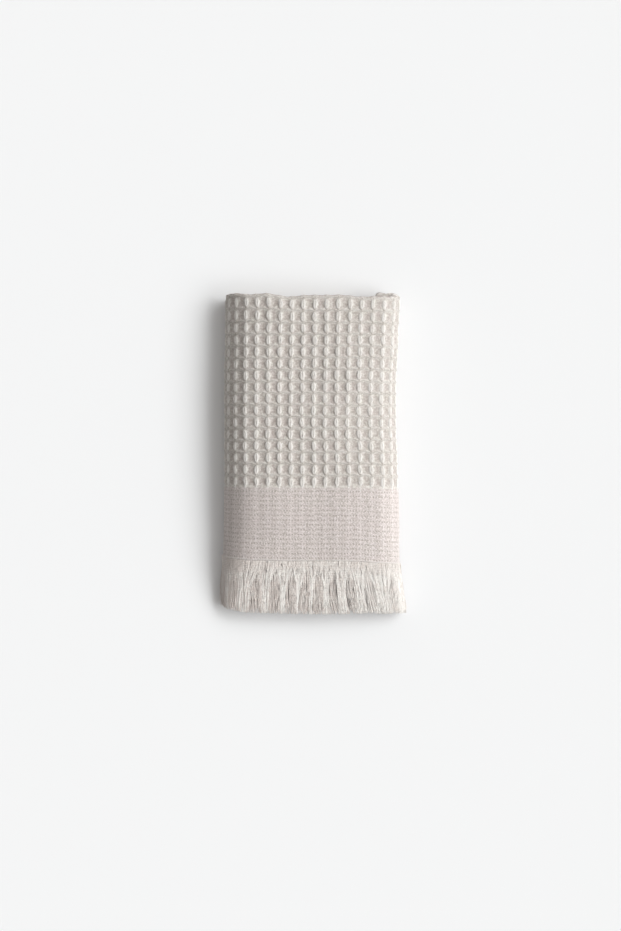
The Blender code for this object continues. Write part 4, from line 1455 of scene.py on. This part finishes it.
class TOWEL_OT_float_yarns(bpy.types.Operator):
    """Floats yarns over the waffle's walls and along its ridges"""
    bl_idname = "towel.float_yarns"
    bl_label = "Float yarns"

    def execute(self, context):
        cloth, _, _ = settings()
        tree = float_tree(yarn_material("waffle yarn", cloth.yarn_colour, cloth.deep_colour,
                                        WAFFLE_TWIST, SOFT_COTTON))
        float_yarns("wall_yarns", wall_guides(cloth), cloth.wall_yarns, WALL_SLIT, tree, cloth)
        float_yarns("ridge_yarns", ridge_guides(cloth), cloth.ridge_yarns, RIDGE_SLIT, tree,
                    cloth)
        return {"FINISHED"}


class TOWEL_OT_lay_fringes(bpy.types.Operator):
    """Lays the loose threads beyond both hems"""
    bl_idname = "towel.lay_fringes"
    bl_label = "Lay fringes"

    def execute(self, context):
        _, fringe, _ = settings()
        tree = fringe_tree(yarn_material("cotton threads", fringe.colour, fringe.deep_colour,
                                         THREAD_TWIST, SOFT_THREADS))
        lay_fringe(OUTER_FRINGE, fringe.guides, tree, fringe)
        lay_fringe(BACK_FRINGE, fringe.back_guides, tree, fringe)
        return {"FINISHED"}


class TOWEL_OT_lay_hem_yarns(bpy.types.Operator):
    """Lays a twisted yarn along each hem"""
    bl_idname = "towel.lay_hem_yarns"
    bl_label = "Lay hem yarns"

    def execute(self, context):
        _, fringe, _ = settings()
        tree = twist_tree("hem yarn", yarn_material("hem yarn", fringe.hem_colour,
                                                    fringe.deep_colour, HEM_TWIST, SOFT_COTTON))
        lay_hem_yarn("outer_hem_yarn", outer_hem_points, fringe, tree)
        lay_hem_yarn("back_hem_yarn", back_hem_points, fringe, tree)
        return {"FINISHED"}


class TOWEL_OT_declare_sheet(bpy.types.Operator):
    """Checks that the cloth has been folded"""
    bl_idname = "towel.declare_sheet"
    bl_label = "State the cloth's size"

    def execute(self, context):
        cloth = bpy.data.objects.get("towel_cloth")
        if cloth is None:
            raise RuntimeError("fold the cloth first")
        return {"FINISHED"}


class TOWEL_OT_set_stage(bpy.types.Operator):
    """Puts down the floor, the soft light and the camera straight above"""
    bl_idname = "towel.set_stage"
    bl_label = "Set stage"

    def execute(self, context):
        _, _, stage = settings()
        make_floor(stage)
        make_light(stage)
        make_camera(stage)
        return {"FINISHED"}


FLOOR_HALF = 3.0
VIEW_X, VIEW_Y = -2.8 * MM, -10.8 * MM      # the middle of the picture
VIEW_LENGTH = 875.0 * MM                    # what the picture's height covers at the top's level
SENSOR = 36.0
CLIP_START, CLIP_END = 0.05, 20.0
KEY_SHARES = (0.3, 0.4, 0.3)                # of the key light's strength, for each of its suns
KEY_COLOUR = (0.972, 0.992, 1.0)
ROOM_COLOUR = (1.0, 0.982, 0.958)
FLOOR_GRAIN = 90 * MM
FLOOR_DARKER = 0.97                         # colour of the floor's patches against its own


def make_floor(stage):
    corners = [(x * FLOOR_HALF, y * FLOOR_HALF, 0)
               for x, y in ((-1, -1), (1, -1), (1, 1), (-1, 1))]
    data = bpy.data.meshes.new("floor")
    data.from_pydata(corners, [], [(0, 1, 2, 3)])
    paint = Paint("pale floor")
    grain = paint.noise(paint.node("ShaderNodeTexCoord", output="Object"), FLOOR_GRAIN)
    darker = [part * FLOOR_DARKER for part in stage.floor_colour]
    colour = paint.mix(grain * 0.1, opaque(stage.floor_colour), opaque(darker))
    data.materials.append(paint.shine({"Base Color": colour, "Roughness": 0.9,
                                       "Specular IOR Level": 0.1}))
    floor = placed("floor", data)


def make_light(stage):
    """A broad soft light from the right, and a room that is brighter on that side."""
    for number, share in enumerate(KEY_SHARES):
        key = bpy.data.lights.new(f"key_{number}", "SUN")
        key.energy = stage.key_strength * share
        key.angle = stage.key_spread
        key.color = KEY_COLOUR
        lamp = placed(key.name, key)
        turn_by = stage.key_turn + (number - 1) * stage.key_width / 2
        lamp.rotation_euler = (0.0, math.pi / 2 - stage.key_elevation, turn_by)
    world = bpy.data.worlds.new("soft room")
    bpy.context.scene.world = world
    world.use_nodes = True
    room = NodeTree(world.node_tree)
    sky = world.node_tree.nodes["Background"]
    sky.inputs["Color"].default_value = opaque(ROOM_COLOUR)
    right, _, _ = room.parts(room.node("ShaderNodeTexCoord", output="Generated"))
    strength = (right * stage.fill_lean + 1) * stage.fill_strength
    world.node_tree.links.new(strength.socket, sky.inputs["Strength"])


def make_camera(stage):
    data = bpy.data.cameras.new("camera")
    data.sensor_width = SENSOR
    data.lens = SENSOR * (stage.camera_height - HEIGHT) / VIEW_LENGTH
    data.clip_start, data.clip_end = CLIP_START, CLIP_END
    camera = placed("camera", data)
    camera.location = (VIEW_X, VIEW_Y, stage.camera_height)
    bpy.context.scene.camera = camera
    bpy.context.scene.view_settings.view_transform = "Standard"


class TOWEL_PT_panel(bpy.types.Panel):
    """The towel's steps and settings"""
    bl_idname = "TOWEL_PT_panel"
    bl_label = "Waffle towel"
    bl_space_type = "VIEW_3D"
    bl_region_type = "UI"
    bl_category = "Towel"

    def draw(self, context):
        for step in STEPS_IN_ORDER:
            self.layout.operator(step.bl_idname)
        for group in settings():
            box = self.layout.box()
            for name in group.__annotations__:
                box.prop(group, name)


GROUPS = {
    "towel_cloth": TowelClothSettings,
    "towel_fringe": TowelFringeSettings,
    "towel_stage": TowelStageSettings,
}
STEPS_IN_ORDER = (TOWEL_OT_fold_cloth, TOWEL_OT_float_yarns, TOWEL_OT_lay_fringes,
                  TOWEL_OT_lay_hem_yarns, TOWEL_OT_declare_sheet, TOWEL_OT_set_stage)
CLASSES = (*GROUPS.values(), *STEPS_IN_ORDER, TOWEL_PT_panel)


def register():
    for kind in CLASSES:
        bpy.utils.register_class(kind)
    for name, kind in GROUPS.items():
        setattr(bpy.types.Scene, name, PointerProperty(type=kind))


def unregister():
    for name in GROUPS:
        delattr(bpy.types.Scene, name)
    for kind in reversed(CLASSES):
        bpy.utils.unregister_class(kind)


def main():
    register()
    bpy.ops.towel.fold_cloth()
    bpy.ops.towel.float_yarns()
    bpy.ops.towel.lay_fringes()
    bpy.ops.towel.lay_hem_yarns()
    bpy.ops.towel.declare_sheet()
    bpy.ops.towel.set_stage()


if __name__ == "__main__":
    main()
